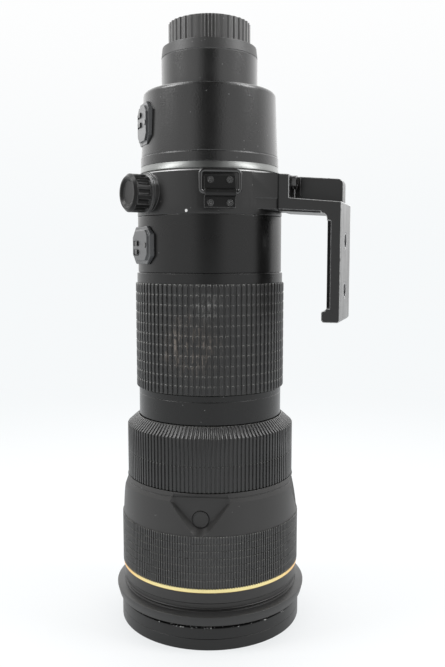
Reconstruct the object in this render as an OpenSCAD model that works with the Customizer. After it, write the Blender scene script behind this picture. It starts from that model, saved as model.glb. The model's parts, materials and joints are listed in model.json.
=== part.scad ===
// Super telephoto zoom lens, standing on its front rim with the mount end up.
// The lens axis is Z, the front rim plane is Z = 0 and the tripod foot points along +X.

/* [Front rim and hood seat] */
// Outer diameter of the front rim that a hood clamps round
rim_d = 117.6; // [110:0.2:118]
// Height of the front rim
rim_h = 14; // [10:0.5:18]
// Wall of the front rim
rim_wall = 4.3; // [3:0.1:5]
// Height of the open neck between the rim and the hood stop
neck_h = 2.3; // [1.5:0.1:4]
// How far the hood stop flange stands out from the front barrel
stop_proud = 4.8; // [3:0.1:7]
// Height of the hood stop flange
stop_h = 5.8; // [4:0.1:8]

/* [Front barrel] */
// Diameter of the front barrel just ahead of the gold ring
front_d = 114.4; // [110:0.2:116]
// Length of front barrel between the hood stop and the gold ring
front_band_h = 13; // [10:0.5:16]
// Length of the gold ring
gold_h = 2.8; // [2:0.1:4]
// Outer diameter of the gold ring at its rear edge
gold_d = 115.4; // [114.6:0.2:116.4]
// Length of the front rubber grip
front_grip_h = 31.4; // [24:0.5:36]
// Outer diameter of the front rubber grip
front_grip_d = 116; // [115:0.2:118]
// Number of ribs round the front grip
front_ribs = 215; // [120:1:260]
// Length of the cone that holds the function buttons
cone_h = 19.7; // [18.5:0.1:22]
// Diameter of the cone at its rear edge
cone_end_d = 112.6; // [111:0.2:113.4]
// Length of the steep nose behind the cone
nose_h = 4.3; // [3:0.1:6]
// Diameter of the nose at its rear edge
nose_end_d = 109; // [108:0.2:110]
// Clear radius inside the front barrel
front_bore_r = 53; // [52.4:0.1:53.4]

/* [Function buttons] */
// Number of function buttons
button_n = 4; // [2, 3, 4]
// Diameter of a function button
button_d = 10; // [8:0.2:11]
// Travel of a function button
button_travel = 0.8; // [0.4:0.1:1]
// Distance from the axis to the flat floor of a button pocket
pocket_floor = 51.3; // [51:0.1:51.6]
// Radius of the round end of a button pocket's floor
pocket_r = 5.5; // [5.4:0.1:6.2]
// Width of a button pocket's floor at its wide end
pocket_w = 31.3; // [26:0.1:33]
// Angle of the first button from the foot
button_angle = -78; // [-85:0.5:-70]

/* [Focus ring] */
// Diameter of the focus ring
focus_d = 108; // [106:0.2:110]
// Length of the straight part of the focus ring
focus_h = 32.7; // [28:0.1:36]
// Length of the sloped end of the focus ring
focus_slope_h = 6.1; // [5:0.1:8]
// Diameter at the small end of the slope
focus_small_d = 94.6; // [94.2:0.1:97]
// Thickness of the focus ring's rubber
focus_rubber = 2.2; // [1.6:0.1:2.6]
// Number of ribs round the focus ring
focus_ribs = 129; // [80:1:160]
// Angle through which the focus ring turns
focus_turn = 160; // [90:5:200]
// Travel of the focusing group
focus_travel = 10; // [6:0.5:12]

/* [Middle barrel] */
// Diameter of the barrel between the focus and zoom rings
middle_d = 92.4; // [92.2:0.1:93]
// Length of barrel between the focus and zoom rings
middle_h = 18.2; // [16:0.1:22]
// Diameter of the bearing lands under both rings
land_d = 90; // [89:0.1:90.6]
// Inner radius of the middle barrel
middle_bore_r = 41.5; // [41.2:0.1:42]
// Length of barrel between the zoom ring and the collar
saddle_h = 34.9; // [32:0.1:40]
// Diameter of barrel between the zoom ring and the collar
saddle_d = 92; // [91.6:0.1:92.6]

/* [Zoom ring] */
// Diameter over the zoom ring's rubber
zoom_d = 95.6; // [95:0.1:97]
// Length of the zoom ring's rubber
zoom_h = 66.5; // [60:0.5:74]
// Length of the plain scale band behind the rubber
zoom_band_h = 6.2; // [5:0.1:8]
// Diameter of the plain scale band
zoom_band_d = 93.6; // [93:0.1:94.4]
// Thickness of the zoom ring's rubber
zoom_rubber = 1.5; // [1.2:0.1:1.6]
// Number of ribs round the zoom ring
zoom_ribs = 85; // [60:1:110]
// Angle through which the zoom ring turns
zoom_turn = 85; // [60:5:100]

/* [Tripod collar] */
// Width of the collar along the barrel
collar_h = 26; // [24:0.2:28]
// Diameter of the collar at its front edge
collar_d = 92; // [91.6:0.1:93]
// Diameter of the collar at its rear edge
collar_rear_d = 89.2; // [88.6:0.1:90]
// Radius of the race that the collar turns on
race_r = 42; // [41.8:0.1:42.4]
// Length of the silver bevel ring behind the collar
bevel_h = 4.3; // [3.5:0.1:5]

/* [Tripod foot] */
// Distance from the axis to the joint of foot and collar
foot_joint = 49.2; // [48:0.2:52]
// Distance from the axis to the foot's outer face
foot_reach = 87.5; // [84:0.1:94]
// Width of the foot
foot_w = 39; // [34:0.5:42]
// Thickness of the foot's long plate
foot_plate = 8.3; // [8:0.1:11]
// Thickness of the arm's full-width shelf at the joint
foot_shelf = 8.4; // [7:0.1:10]
// Thickness of the web that stands on the arm's shelf
foot_web = 10; // [8:0.5:12]
// How far the arm's top falls from the joint to the outer face
foot_fall = 3.1; // [0:0.1:4]
// Height of the foot's free end above the front rim plane
foot_end_z = 196.6; // [190:0.2:204]
// Radius of the tripod screw threads in the foot
foot_hole_r = 4.76; // [3.1:0.01:4.8]
// Distance between the two tripod screw threads
foot_hole_pitch = 30; // [26:0.2:34]

/* [Collar knob and strap brackets] */
// Diameter of the collar knob
knob_d = 23; // [20:0.5:25]
// Height of the collar knob
knob_h = 11; // [8:0.1:12]
// Number of hollows round the collar knob
knob_lobes = 12; // [8:1:16]
// Angle of the collar knob from the foot
knob_angle = -129; // [-140:0.5:-125]
// Angle of each strap bracket from the foot
strap_angle = 64.3; // [60:0.1:70]
// Width of a strap bracket's plate
strap_w = 18.5; // [16:0.5:22]
// Height of a strap bracket's plate
strap_h = 18.7; // [18:0.1:20]
// Outer width of a strap loop
loop_w = 25.6; // [24:0.2:28]
// Thickness of a strap loop's wire
loop_wire = 2.4; // [2:0.1:2.6]

/* [Rear barrel] */
// Diameter of the rear barrel behind the silver ring
rear_d = 86.6; // [86:0.1:87.4]
// Diameter of the rear barrel at its rear shoulder
rear_end_d = 83.8; // [83:0.1:84.6]
// Length of the rear barrel behind the silver ring
rear_h = 48.2; // [46:0.2:52]
// Inner radius of the rear barrel
rear_bore_r = 38; // [37.4:0.1:38.4]
// Diameter of the mount housing at its front edge
housing_d = 60.6; // [60:0.1:62]
// Diameter of the mount housing at its rear edge
housing_end_d = 59.2; // [58.6:0.1:60]
// Length of the mount housing
housing_h = 23.2; // [20:0.2:26]

/* [Lens mount and rear cap] */
// Thickness of the mount's flange
flange_h = 2.5; // [2:0.1:3]
// Diameter of the mount's flange
flange_d = 56.6; // [56:0.2:57.4]
// Outer diameter of the bayonet tube
throat_d = 44; // [43:0.2:45]
// Diameter over the bayonet lugs
lug_d = 47; // [46.4:0.1:47.4]
// Height of the bayonet tube above the flange
throat_h = 7; // [5:0.5:8]
// Diameter of the rear cap
cap_d = 51.4; // [50.6:0.2:52.6]
// Height of the rear cap
cap_h = 15; // [13:0.5:18]

/* [Switch panels] */
// Angle of the upper panel from the foot
upper_angle = -142.5; // [-146:0.5:-139]
// Angle of the lower panel from the foot
lower_angle = -137; // [-144:0.5:-134]
// Distance from the axis to the upper panel's face
upper_face = 44.4; // [44.2:0.1:46.4]
// Width of the upper panel's base
upper_w = 25; // [24:0.5:28]
// Height of the upper panel's base
upper_h = 25.4; // [23:0.2:27]
// Distance from the axis to the lower panel's face
lower_face = 47.9; // [47.5:0.1:48.5]
// Width of the lower panel's base
lower_w = 30.5; // [28:0.5:33]
// Height of the lower panel's base
lower_h = 23.1; // [21:0.2:25]
// Travel of a switch round the barrel
switch_travel = 4.6; // [3:0.2:5.4]

/* [Filter drawer] */
// Half of the drawer's width, which is also the radius of its round end
drawer_r = 29.3; // [28.6:0.1:29.4]
// Height of the drawer
drawer_h = 14; // [12:0.2:14.4]
// Radius of the drop-in filter's ring
filter_r = 27; // [26:0.1:27.2]

/* [Inner tubes and cells] */
// Inner radius of the guide tube
guide_r = 35; // [34:0.1:35.4]
// Wall of the guide tube
guide_wall = 2; // [1.6:0.1:2.2]
// Wall of the zoom cam tube
cam_wall = 1.8; // [1.4:0.1:2]
// Travel of the variator along the axis
variator_travel = 34; // [24:1:36]
// Travel of the compensator along the axis
compensator_travel = 14; // [8:1:15]
// Radius of a cell's follower pin
pin_r = 2.2; // [1.8:0.1:2.6]
// Number of blades in the iris
blade_n = 9; // [7, 9]
// Angle through which the aperture lever turns
aperture_turn = 40; // [30:5:45]
// Largest shift of the stabilised group to each side
shake_shift = 0.8; // [0.4:0.1:1]

/* [Clearances and smoothness] */
// Radial clearance of a turning fit
turn_gap = 0.05; // [0.02:0.01:0.09]
// Clearance between pieces that move past each other
free_gap = 0.3; // [0.25:0.05:0.4]
// Depth and width of a fine parting line
line_cut = 0.4; // [0.3:0.1:0.6]
// Segments of a full circle
fine = 128; // [64:8:192]

/* [Hidden] */

$fn = fine;
// Overrun of every cut past the face that it opens
over = 1;

// Stations along the axis, each built on the one before it
stop_z = rim_h + neck_h;
band_z = stop_z + stop_h;
gold_z = band_z + front_band_h;
gold_lip = 0.8;
front_grip_z = gold_z + gold_h + gold_lip;
cone_z = front_grip_z + front_grip_h;
nose_z = cone_z + cone_h;
lip_z = nose_z + nose_h;
lip_h = 1.1;
focus_gap = 0.4;
focus_z = lip_z + lip_h + focus_gap;
slope_z = focus_z + focus_h;
focus_end_z = slope_z + focus_slope_h;
ring_gap = 0.5;
middle_z = focus_end_z + ring_gap;
zoom_z = middle_z + middle_h;
zoom_band_z = zoom_z + zoom_h;
zoom_end_z = zoom_band_z + zoom_band_h;
saddle_z = zoom_end_z + ring_gap;
collar_seat_z = saddle_z + saddle_h - ring_gap;
collar_z = collar_seat_z + free_gap;
collar_end_z = collar_z + collar_h;
bevel_z = collar_end_z + free_gap;
rear_z = bevel_z + bevel_h;
housing_z = rear_z + rear_h;
flange_z = housing_z + housing_h;
mount_z = flange_z + flange_h;
collar_mid_z = collar_z + collar_h / 2;

// Steps of a drawn arc, and the corners of one rib as shares of the rib's pitch
arc_steps = 8;
rib_corner_shares = [0, 0.16, 0.5, 0.66];

// Front end
rim_r = rim_d / 2;
rim_seat = 7;
rim_line_z = rim_h / 2;
neck_r = front_d / 2 - line_cut;
spigot_wall = 1.5;
stop_d = front_d + 2 * stop_proud;
stop_lip = 1.2;
stop_rise = 4.6;
flare_h = 1.3;
flare_drop = 1.2;
band_groove_z = band_z + 3.2;
band_line_z = band_z + 6.4;
seat_drop = 2.2;
cone_start_r = front_d / 2 + 0.2;
front_wall = 4;
cone_bore_r = 49;

// Function buttons
button_z = cone_z + 8.6;
button_proud = 0.5;
button_back = 0.6;
button_t = button_proud + button_travel + button_back;
button_dish = 0.5;
pocket_edge = 0.25;
pocket_slope = 25;
pocket_cut = 8;
pocket_spread = 1 + pocket_cut * tan(pocket_slope) / pocket_r;
pocket_corner_share = 0.86;
pocket_rise = (nose_z - button_z) * pocket_corner_share;
pocket_tilt = acos(pocket_r / norm([pocket_w / 2, pocket_rise])) - atan2(pocket_rise, pocket_w / 2);

// Front optics
cell_wall = 1.5;
cell_z = stop_z;
cell_h = 68;
retainer_h = 2;
retainer_lap = 1.6;
glass_z = cell_z + retainer_h + 1.2;
glass_edge = 3;
front_glass_r = front_bore_r - cell_wall - 2 * turn_gap;
// Heights of the two large elements above the front of the cell, as shares of the cell's length
front_element_shares = [0.22, 0.42];

// Rings
land_r = land_d / 2;
focus_r = focus_d / 2;
focus_small_r = focus_small_d / 2;
focus_line_z = focus_z + focus_h / 2 - 0.3;
sleeve_wall = 2;
web_h = 4;
rib_depth = 0.8;
fine_rib_depth = 0.5;
middle_line_z = middle_z + 14;
key_w = 8;
key_h = 6;

// Inner stations
spigot_h = 8;
guide_z = focus_z - 0.5;
guide_out_r = guide_r + guide_wall;
guide_flange_h = 3;
guide_end_z = collar_seat_z - 3;
stator_z = guide_z + guide_flange_h;
stator_h = 5.5;
rotor_z = stator_z + stator_h + free_gap;
rotor_h = 9;
rotor_in_r = guide_out_r + 2;
focus_cell_z = rotor_z + 2;
focus_cell_h = 22;
focus_key_z = rotor_z + 1.5;
cam_in_r = guide_out_r + turn_gap;
cam_out_r = cam_in_r + cam_wall;
cam_z = zoom_z - 6;
cell_r = guide_r - free_gap;
variator_z = cam_z + 4;
variator_h = 20;
variator_pin_z = variator_z + 8;
compensator_h = 20;
iris_z = guide_end_z - 11;
compensator_z = iris_z - compensator_h - 2;
compensator_pin_z = compensator_z + 12;
cam_h = iris_z - cam_z - free_gap;
zoom_key_share = 0.45;
zoom_key_z = zoom_z + zoom_h * zoom_key_share;
focus_glass_r = 31;
variator_glass_r = 27;
compensator_glass_r = 25;
// Followers on each moving cell, and the angle of the first one on the focus, zoom and compensator cells
pin_n = 3;
pin_angles = [30, 75, 0];
slot_gap = 0.3;
pin_tip_r = cam_out_r - line_cut;
cam_spare_angle = 1.5;
cam_slices = 14;
slot_play = 2;
iris_bore_r = 20;
iris_plate = 4.5;
blade_t = 0.4;
blade_gap = 2;
blade_z = iris_z + iris_plate + free_gap;
iris_ring_z = blade_z + blade_n * blade_t / 2 + 2 * free_gap;
iris_ring_h = 2;
arm_r = 33;
arm_t = 1.6;
arm_w = 5;
arm_angle = 180;
arm_clear = 10;

// Stabiliser, relay and filter stations
shake_z = collar_z + 1;
shake_h = 23;
shake_r = 31;
shake_wall = 2;
shake_floor = 3.7;
shake_hole_r = 21;
carrier_z = shake_z + shake_floor + free_gap;
carrier_t = 4;
carrier_r = shake_r - shake_wall - shake_shift - 2 * free_gap;
carrier_hole_r = 22.5;
shake_tube_r = carrier_hole_r - shake_shift - 4 * free_gap;
shake_flange_t = 2;
relay_z = shake_z + shake_h - 3;
relay_h = 17;
relay_r = 24;
drawer_z = rear_z + 12.4;
drawer_mid_z = drawer_z + drawer_h / 2;
wall_top_z = housing_z - 4;
rear_cell_z = drawer_z + drawer_h + 4;
rear_cell_r = 18;
rear_cell_end_z = mount_z - 5;
rear_hole_r = 26;
crank_z = drawer_z + drawer_h + 2;
arm_top_r = 20;

cover_proud = 0.6;
lock_r = 6;
lock_h = 3;
lock_shaft_r = 2.4;
lock_shaft_h = 4;

// Collar details
boss_h = 21.3;
boss_z = collar_mid_z - boss_h / 2 + 1.1;
collar_lip_h = 1.2;
knob_pad = 46.6;
washer_h = 0.6;
knob_base = knob_pad + 2 * washer_h + free_gap;
knob_shaft_r = 3;
knob_pad_r = knob_d / 2 + 1.3;
washer_r = 12;
knob_bevel = 1.7;
knob_rim_h = 2.4;
knob_dish_r = 8.7;
knob_floor_r = 6.9;
knob_dish = 1.4;
knob_hollow_r = 2.1;
strap_pad = 46.4;
strap_plate_t = 1.1;
strap_z = collar_mid_z - 0.3;
strap_knuckle_z = strap_z - 0.8;
loop_r = loop_wire / 2;
loop_axis = strap_pad + strap_plate_t + loop_r + 0.1;
knuckle_r = loop_r + turn_gap + 1.1;
loop_corner = 2.3;
loop_rise = 12.6;
strap_screw_x = 5.7;
strap_screw_z = 6.6;
strap_head_r = 1.9;
strap_head_h = 0.9;
strap_cross_l = 2.5;
strap_cross_w = 0.55;
strap_cross_h = 0.5;
strap_cross_angle = 35;
strap_thread_r = 1.2;
foot_screw_y = 11.5;
foot_screw_rise = 16;
foot_head_r = 4.2;
foot_head_h = 3.3;
foot_thread_r = 2.5;
foot_hex_r = 2.3;
foot_thread_end = race_r + 2;

// Foot details
foot_block = 7;
foot_pocket = 3.8;
foot_toe = 2.7;
foot_toe_h = 6.8;
foot_corner = 3.4;
foot_bevel = 2.4;
foot_edge = 1.2;
foot_hole_bevel = 0.6;
foot_top_z = boss_z + boss_h - line_cut;
foot_low_z = boss_z - foot_edge;
foot_inner = foot_reach - foot_plate;
foot_shelf_fall = foot_fall * 1.2;
foot_under_fall = foot_fall * 0.8;
foot_hole_mid_z = (foot_end_z + boss_z) / 2;
boss_blend_angle = 40.5;
boss_step = 0.8;
boss_step_h = 6.3;

// Rear end
rear_r = rear_d / 2;
rear_end_r = rear_end_d / 2;
shoulder_r = 2.8;
shoulder_slope = 13;
shoulder_end_r = rear_end_r - shoulder_r * (1 - sin(shoulder_slope));
shoulder_drop = (shoulder_end_r - housing_d / 2) * tan(shoulder_slope);
shoulder_z = housing_z - shoulder_drop - shoulder_r * cos(shoulder_slope);
rear_line_z = rear_z + 6;
rear_step = 0.45;
bevel_undercut = 1.5;
housing_wall = 3.2;
housing_line_z = flange_z - 4.2;
throat_r = throat_d / 2;
throat_wall = 1.4;
lug_h = 1.6;
lug_sweep_angle = 52;
lug_n = 3;
lug_angle = 20;
cap_wall = 1.8;
cap_top = 2;
cap_ribs = 39;
cap_rib_depth = 0.6;
mount_screw_n = 5;
mount_screw_ring = 26.2;
mount_screw_r = 1.2;
contact_r = throat_r - throat_wall - turn_gap;
contact_t = 1.3;
contact_sweep_angle = 64;
contact_angle = 70;
contact_n = 9;
contact_end_z = mount_z + throat_h - over;
board_t = 1.6;
board_sweep_angle = 60;
board_angle = -100;

// Panel details
upper_z = rear_z + 25.4;
lower_z = saddle_z + 16.6;
rear_fall = (rear_r - rear_end_r) / (shoulder_z - rear_line_z);
upper_seat_r = rear_r - rear_fall * (upper_z - rear_line_z);
panel_cut = 5;
panel_rim = 2.3;
panel_lift = 1.2;
slot_h = 3.2;
upper_slot_x = -4.9;
lower_slot_x = -6.8;
upper_slots_z = [5.7, -0.2];
lower_slots_z = [1.1, -4.2];
switch_w = 4;
switch_h = slot_h - 2 * free_gap;
slot_w = switch_w + switch_travel + 2 * free_gap;
slot_deep = 1.1;
switch_proud = 0.9;
panel_screw_r = 1.6;
upper_screw_x = 8.2;
lower_screw_x = 10.2;
panel_screw_h = 0.5;

// Shape helpers

// Ring between two radii, from one height to another
module tube(out_r, in_r, z, h) {
    translate([0, 0, z])
        difference() {
            cylinder(r = out_r, h = h);
            translate([0, 0, -over])
                cylinder(r = in_r, h = h + 2 * over);
        }
}

// Part of a ring that spans an angle, centred on a direction
module arc_block(out_r, in_r, z, h, mid, span) {
    rotate([0, 0, mid - span / 2])
        rotate_extrude(angle = span)
            translate([in_r, z])
                square([out_r - in_r, h]);
}

// Places a flat outline upright on the barrel: its X runs round, its Y runs up, its height points out
module upright(angle, distance) {
    rotate([0, 0, angle])
        translate([distance, 0, 0])
            rotate([90, 0, 90])
                children();
}

// Points the Z axis of a piece outwards from the barrel
module outward(angle, distance, z) {
    rotate([0, 0, angle])
        translate([distance, 0, z])
            rotate([0, 90, 0])
                children();
}

// Gear-like outline with flat-topped ribs
function rib_outline(count, top_r, depth) = [
    for (i = [0 : count - 1])
        for (k = [0 : 3])
            let (r = (k == 0 || k == 3) ? top_r - depth : top_r,
                 a = 360 * (i + rib_corner_shares[k]) / count)
            [r * cos(a), r * sin(a)]
];

// Corners of a rectangle with its corners cut off
function cut_outline(w, h, cut) = [
    [w / 2 - cut, -h / 2], [w / 2, -h / 2 + cut],
    [w / 2, h / 2 - cut], [w / 2 - cut, h / 2],
    [-w / 2 + cut, h / 2], [-w / 2, h / 2 - cut],
    [-w / 2, -h / 2 + cut], [-w / 2 + cut, -h / 2]
];

// Points of a ball-shaped face from the axis out to radius r, height sag at the centre
function face_arc(r, sag, base_z, sign) = let (ball = (r * r + sag * sag) / (2 * sag)) [
    for (k = [0 : arc_steps])
        let (x = r * k / arc_steps)
        [x, base_z + sign * (sqrt(ball * ball - x * x) - ball + sag)]
];
function reversed(points) = [for (k = [len(points) - 1 : -1 : 0]) points[k]];

// Glass element: a disc whose faces bulge by front and back at the centre
module element(r, z, edge, front, back) {
    low = front > 0 ? face_arc(r, front, z, -1) : [[0, z], [r, z]];
    high = back > 0 ? face_arc(r, back, z + edge, 1) : [[0, z + edge], [r, z + edge]];
    rotate_extrude()
        polygon(concat(low, reversed(high)));
}

// Front end

module front_rim() {
    color("#1c1d1e")
    rotate_extrude()
        polygon([
            [rim_r - rim_wall, 0],
            [rim_r, 0],
            [rim_r, rim_line_z - line_cut / 2],
            [rim_r - line_cut, rim_line_z],
            [rim_r, rim_line_z + line_cut / 2],
            [rim_r, rim_h - line_cut],
            [rim_r - line_cut, rim_h],
            [neck_r - spigot_wall + turn_gap, rim_h],
            [neck_r - spigot_wall + turn_gap, rim_seat],
            [rim_r - rim_wall, rim_seat]
        ]);
}

module hood_stop() {
    color("#232425")
    rotate_extrude()
        polygon([
            [neck_r + turn_gap, stop_z],
            [stop_d / 2 - stop_lip, stop_z],
            [stop_d / 2, stop_z + stop_rise],
            [stop_d / 2, band_z],
            [stop_d / 2 - stop_lip, band_z + line_cut],
            [neck_r + turn_gap, band_z + flare_h - line_cut]
        ]);
}

// Round lower end of a pocket, from its left side to its right
function pocket_end() = [
    for (k = [0 : 2 * arc_steps])
        let (a = 180 + pocket_tilt + (180 - 2 * pocket_tilt) * k / (2 * arc_steps))
        [pocket_r * cos(a), pocket_r * sin(a)]
];

// The four V-shaped pockets for the function buttons
module button_pockets() {
    for (i = [0 : button_n - 1])
        upright(button_angle + 360 * i / button_n, pocket_floor) {
            intersection() {
                translate([0, button_z])
                    linear_extrude(height = pocket_cut, scale = pocket_spread)
                        polygon(concat([
                            [pocket_w / 2, pocket_rise],
                            [pocket_w / 2, lip_z + pocket_edge - button_z],
                            [-pocket_w / 2, lip_z + pocket_edge - button_z],
                            [-pocket_w / 2, pocket_rise]
                        ], pocket_end()));
                translate([-pocket_w, cone_z - over, -over])
                    cube([2 * pocket_w, lip_z + pocket_edge - cone_z + over, pocket_cut]);
            }
            translate([0, button_z, -front_wall])
                cylinder(d = button_d + 2 * free_gap, h = 2 * front_wall);
        }
}

module front_barrel() {
    color("#2a2b2c")
    difference() {
        rotate_extrude()
            polygon([
                [front_bore_r, rim_seat],
                [neck_r - spigot_wall, rim_seat],
                [neck_r - spigot_wall, rim_h],
                [neck_r, rim_h],
                [neck_r, band_z + flare_h - line_cut + turn_gap],
                [front_d / 2 - flare_drop, band_z + flare_h],
                [front_d / 2 - line_cut, band_groove_z - line_cut],
                [front_d / 2 - 2 * line_cut, band_groove_z],
                [front_d / 2 - line_cut, band_groove_z + line_cut],
                [front_d / 2 - line_cut / 2, band_line_z - line_cut / 2],
                [front_d / 2 - line_cut - line_cut / 2, band_line_z],
                [front_d / 2, band_line_z + line_cut / 2],
                [front_d / 2, gold_z],
                [front_d / 2 - seat_drop, gold_z],
                [front_d / 2 - seat_drop, gold_z + gold_h],
                [front_d / 2, gold_z + gold_h],
                [front_d / 2, front_grip_z],
                [front_d / 2 - seat_drop, front_grip_z],
                [front_d / 2 - seat_drop, cone_z],
                [cone_start_r, cone_z],
                [cone_end_d / 2, nose_z],
                [nose_end_d / 2, lip_z],
                [nose_end_d / 2 - line_cut, lip_z + lip_h],
                [cone_bore_r, lip_z + lip_h],
                [cone_bore_r, cone_z],
                [front_bore_r, cone_z]
            ]);
        button_pockets();
    }
}

module gold_ring() {
    color("#e9d77c")
    rotate_extrude()
        polygon([
            [front_d / 2 - seat_drop + turn_gap, gold_z],
            [front_d / 2 + turn_gap, gold_z],
            [gold_d / 2, gold_z + line_cut],
            [gold_d / 2, gold_z + gold_h - line_cut / 2],
            [gold_d / 2 - line_cut / 2, gold_z + gold_h],
            [front_d / 2 - seat_drop + turn_gap, gold_z + gold_h]
        ]);
}

module front_grip() {
    color("#1e1f20")
    difference() {
        translate([0, 0, front_grip_z])
            linear_extrude(height = front_grip_h)
                polygon(rib_outline(front_ribs, front_grip_d / 2, fine_rib_depth));
        translate([0, 0, front_grip_z - over])
            cylinder(r = front_d / 2 - seat_drop + turn_gap, h = front_grip_h + 2 * over);
    }
}

module front_cell() {
    color("#161718")
    rotate_extrude()
        polygon([
            [front_bore_r - turn_gap, cell_z],
            [front_bore_r - turn_gap, cone_z - over],
            [cone_bore_r - cell_wall, cone_z - over],
            [cone_bore_r - cell_wall, cell_z + cell_h],
            [cone_bore_r - 2 * cell_wall, cell_z + cell_h],
            [cone_bore_r - 2 * cell_wall, cone_z - over - 2 * cell_wall],
            [front_glass_r, cone_z - over - 2 * cell_wall],
            [front_glass_r, cell_z + retainer_h],
            [front_glass_r - retainer_lap, cell_z + retainer_h],
            [front_glass_r - retainer_lap, cell_z]
        ]);
}

module front_elements() {
    color("#6f8fa8", 0.5) {
        element(front_glass_r - turn_gap, glass_z, glass_edge, 0, 0);
        for (share = front_element_shares)
            element(front_glass_r - turn_gap, cell_z + cell_h * share,
                    glass_edge, 2 * glass_edge, glass_edge / 2);
        element(cone_bore_r - 2 * cell_wall - turn_gap, cone_z - over,
                glass_edge, glass_edge, glass_edge / 2);
    }
}

// Focusing

module focus_ring() {
    color("#202122")
    difference() {
        rotate_extrude()
            polygon([
                [land_r + turn_gap, focus_z],
                [focus_r - focus_rubber, focus_z],
                [focus_r - focus_rubber, slope_z],
                [focus_small_r - line_cut, focus_end_z - line_cut],
                [focus_small_r - line_cut, focus_end_z],
                [land_r + turn_gap, focus_end_z]
            ]);
        rotate_extrude()
            polygon([
                [land_r - over, focus_z + web_h],
                [focus_r - focus_rubber - sleeve_wall, focus_z + web_h],
                [focus_r - focus_rubber - sleeve_wall, slope_z - web_h],
                [land_r - over, slope_z - web_h]
            ]);
    }
}

module focus_grip() {
    color("#1b1c1d")
    difference() {
        translate([0, 0, focus_z])
            linear_extrude(height = focus_h + focus_slope_h)
                polygon(rib_outline(focus_ribs, focus_r, rib_depth));
        rotate_extrude()
            polygon([
                [0, focus_z - over],
                [focus_r - focus_rubber + turn_gap, focus_z - over],
                [focus_r - focus_rubber + turn_gap, slope_z],
                [focus_small_r - line_cut + turn_gap, focus_end_z],
                [focus_small_r - line_cut + turn_gap, focus_end_z + over],
                [0, focus_end_z + over]
            ]);
        rotate_extrude()
            polygon([
                [focus_r + over * (focus_r - focus_small_r) / focus_slope_h, slope_z - over],
                [focus_small_r, focus_end_z],
                [focus_small_r, focus_end_z + over],
                [focus_r + 2 * over, focus_end_z + over],
                [focus_r + 2 * over, slope_z - over]
            ]);
        tube(focus_r + over, focus_r - line_cut, focus_line_z, line_cut);
    }
}

// Ring motor's stator, clamped against the guide tube's front flange
module focus_motor() {
    color("#8d6b45")
    tube(middle_bore_r - turn_gap, guide_out_r + turn_gap, stator_z, stator_h);
}

module focus_rotor() {
    color("#8a8c8f")
    union() {
        tube(middle_bore_r - free_gap, rotor_in_r, rotor_z, rotor_h);
        arc_block(focus_r - focus_rubber - sleeve_wall - turn_gap, middle_bore_r - over,
                  focus_key_z, key_h, 0, key_w);
    }
}

// Cell that slides in the guide tube on three follower pins
module guided_cell(z, h, glass_r, pin_z, pin_angle) {
    difference() {
        union() {
            tube(cell_r, glass_r, z, h);
            for (i = [0 : pin_n - 1])
                outward(pin_angle + 360 * i / pin_n, cell_r - over, pin_z)
                    cylinder(r = pin_r, h = pin_tip_r - cell_r + over);
        }
        translate([0, 0, z + h - retainer_h])
            cylinder(r = glass_r + cell_wall, h = retainer_h + over);
    }
}

module focus_cell() {
    color("#2b2d30")
    guided_cell(focus_cell_z, focus_cell_h, focus_glass_r, focus_cell_z + focus_cell_h / 2, pin_angles[0]);
}

module focus_elements() {
    color("#6f8fa8", 0.5) {
        element(focus_glass_r - turn_gap, focus_cell_z + 2 * glass_edge, glass_edge, glass_edge, 0);
        element(focus_glass_r - turn_gap, focus_cell_z + 4 * glass_edge, glass_edge, 0, glass_edge);
    }
}

// Barrel, guide tube and cam tube

module middle_barrel() {
    color("#2a2b2c")
    difference() {
        rotate_extrude()
            polygon([
                [middle_bore_r, lip_z + lip_h - spigot_h],
                [cone_bore_r - turn_gap, lip_z + lip_h - spigot_h],
                [cone_bore_r - turn_gap, lip_z + lip_h],
                [land_r, lip_z + lip_h],
                [land_r, middle_z],
                [middle_d / 2, middle_z],
                [middle_d / 2, middle_line_z - line_cut / 2],
                [middle_d / 2 - line_cut, middle_line_z],
                [middle_d / 2, middle_line_z + line_cut / 2],
                [middle_d / 2, zoom_z - ring_gap],
                [land_r, zoom_z - ring_gap],
                [land_r, saddle_z],
                [saddle_d / 2, saddle_z],
                [saddle_d / 2, collar_seat_z],
                [middle_bore_r, collar_seat_z]
            ]);
        arc_block(land_r + over, middle_bore_r - over, focus_key_z - free_gap,
                  key_h + 2 * free_gap, focus_turn / 2, focus_turn + key_w + slot_play);
        arc_block(land_r + over, middle_bore_r - over, zoom_key_z - free_gap,
                  key_h + 2 * free_gap, zoom_turn / 2, zoom_turn + key_w + slot_play);
    }
}

// Straight slot that keeps a follower pin from turning
module straight_slots(pin_angle, from_z, to_z) {
    for (i = [0 : pin_n - 1])
        rotate([0, 0, pin_angle + 360 * i / pin_n])
            for (end_z = [from_z, to_z])
                translate([cell_r - over, 0, end_z])
                    rotate([0, 90, 0])
                        cylinder(r = pin_r + slot_gap, h = guide_wall + 3 * over);
    for (i = [0 : pin_n - 1])
        rotate([0, 0, pin_angle + 360 * i / pin_n])
            translate([cell_r - over, -pin_r - slot_gap, from_z])
                cube([guide_wall + 3 * over, 2 * (pin_r + slot_gap), to_z - from_z]);
}

module guide_tube() {
    color("#9a9c9f")
    difference() {
        union() {
            tube(guide_out_r, guide_r, guide_z, guide_end_z - guide_z);
            tube(middle_bore_r - turn_gap, guide_r, guide_z, guide_flange_h);
            tube(middle_bore_r - turn_gap, guide_r, guide_end_z - guide_flange_h, guide_flange_h);
        }
        straight_slots(pin_angles[0], focus_cell_z + focus_cell_h / 2,
                       focus_cell_z + focus_cell_h / 2 + focus_travel);
        straight_slots(pin_angles[1], variator_pin_z, variator_pin_z + variator_travel);
        straight_slots(pin_angles[2], compensator_pin_z - compensator_travel, compensator_pin_z);
    }
}

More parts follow.
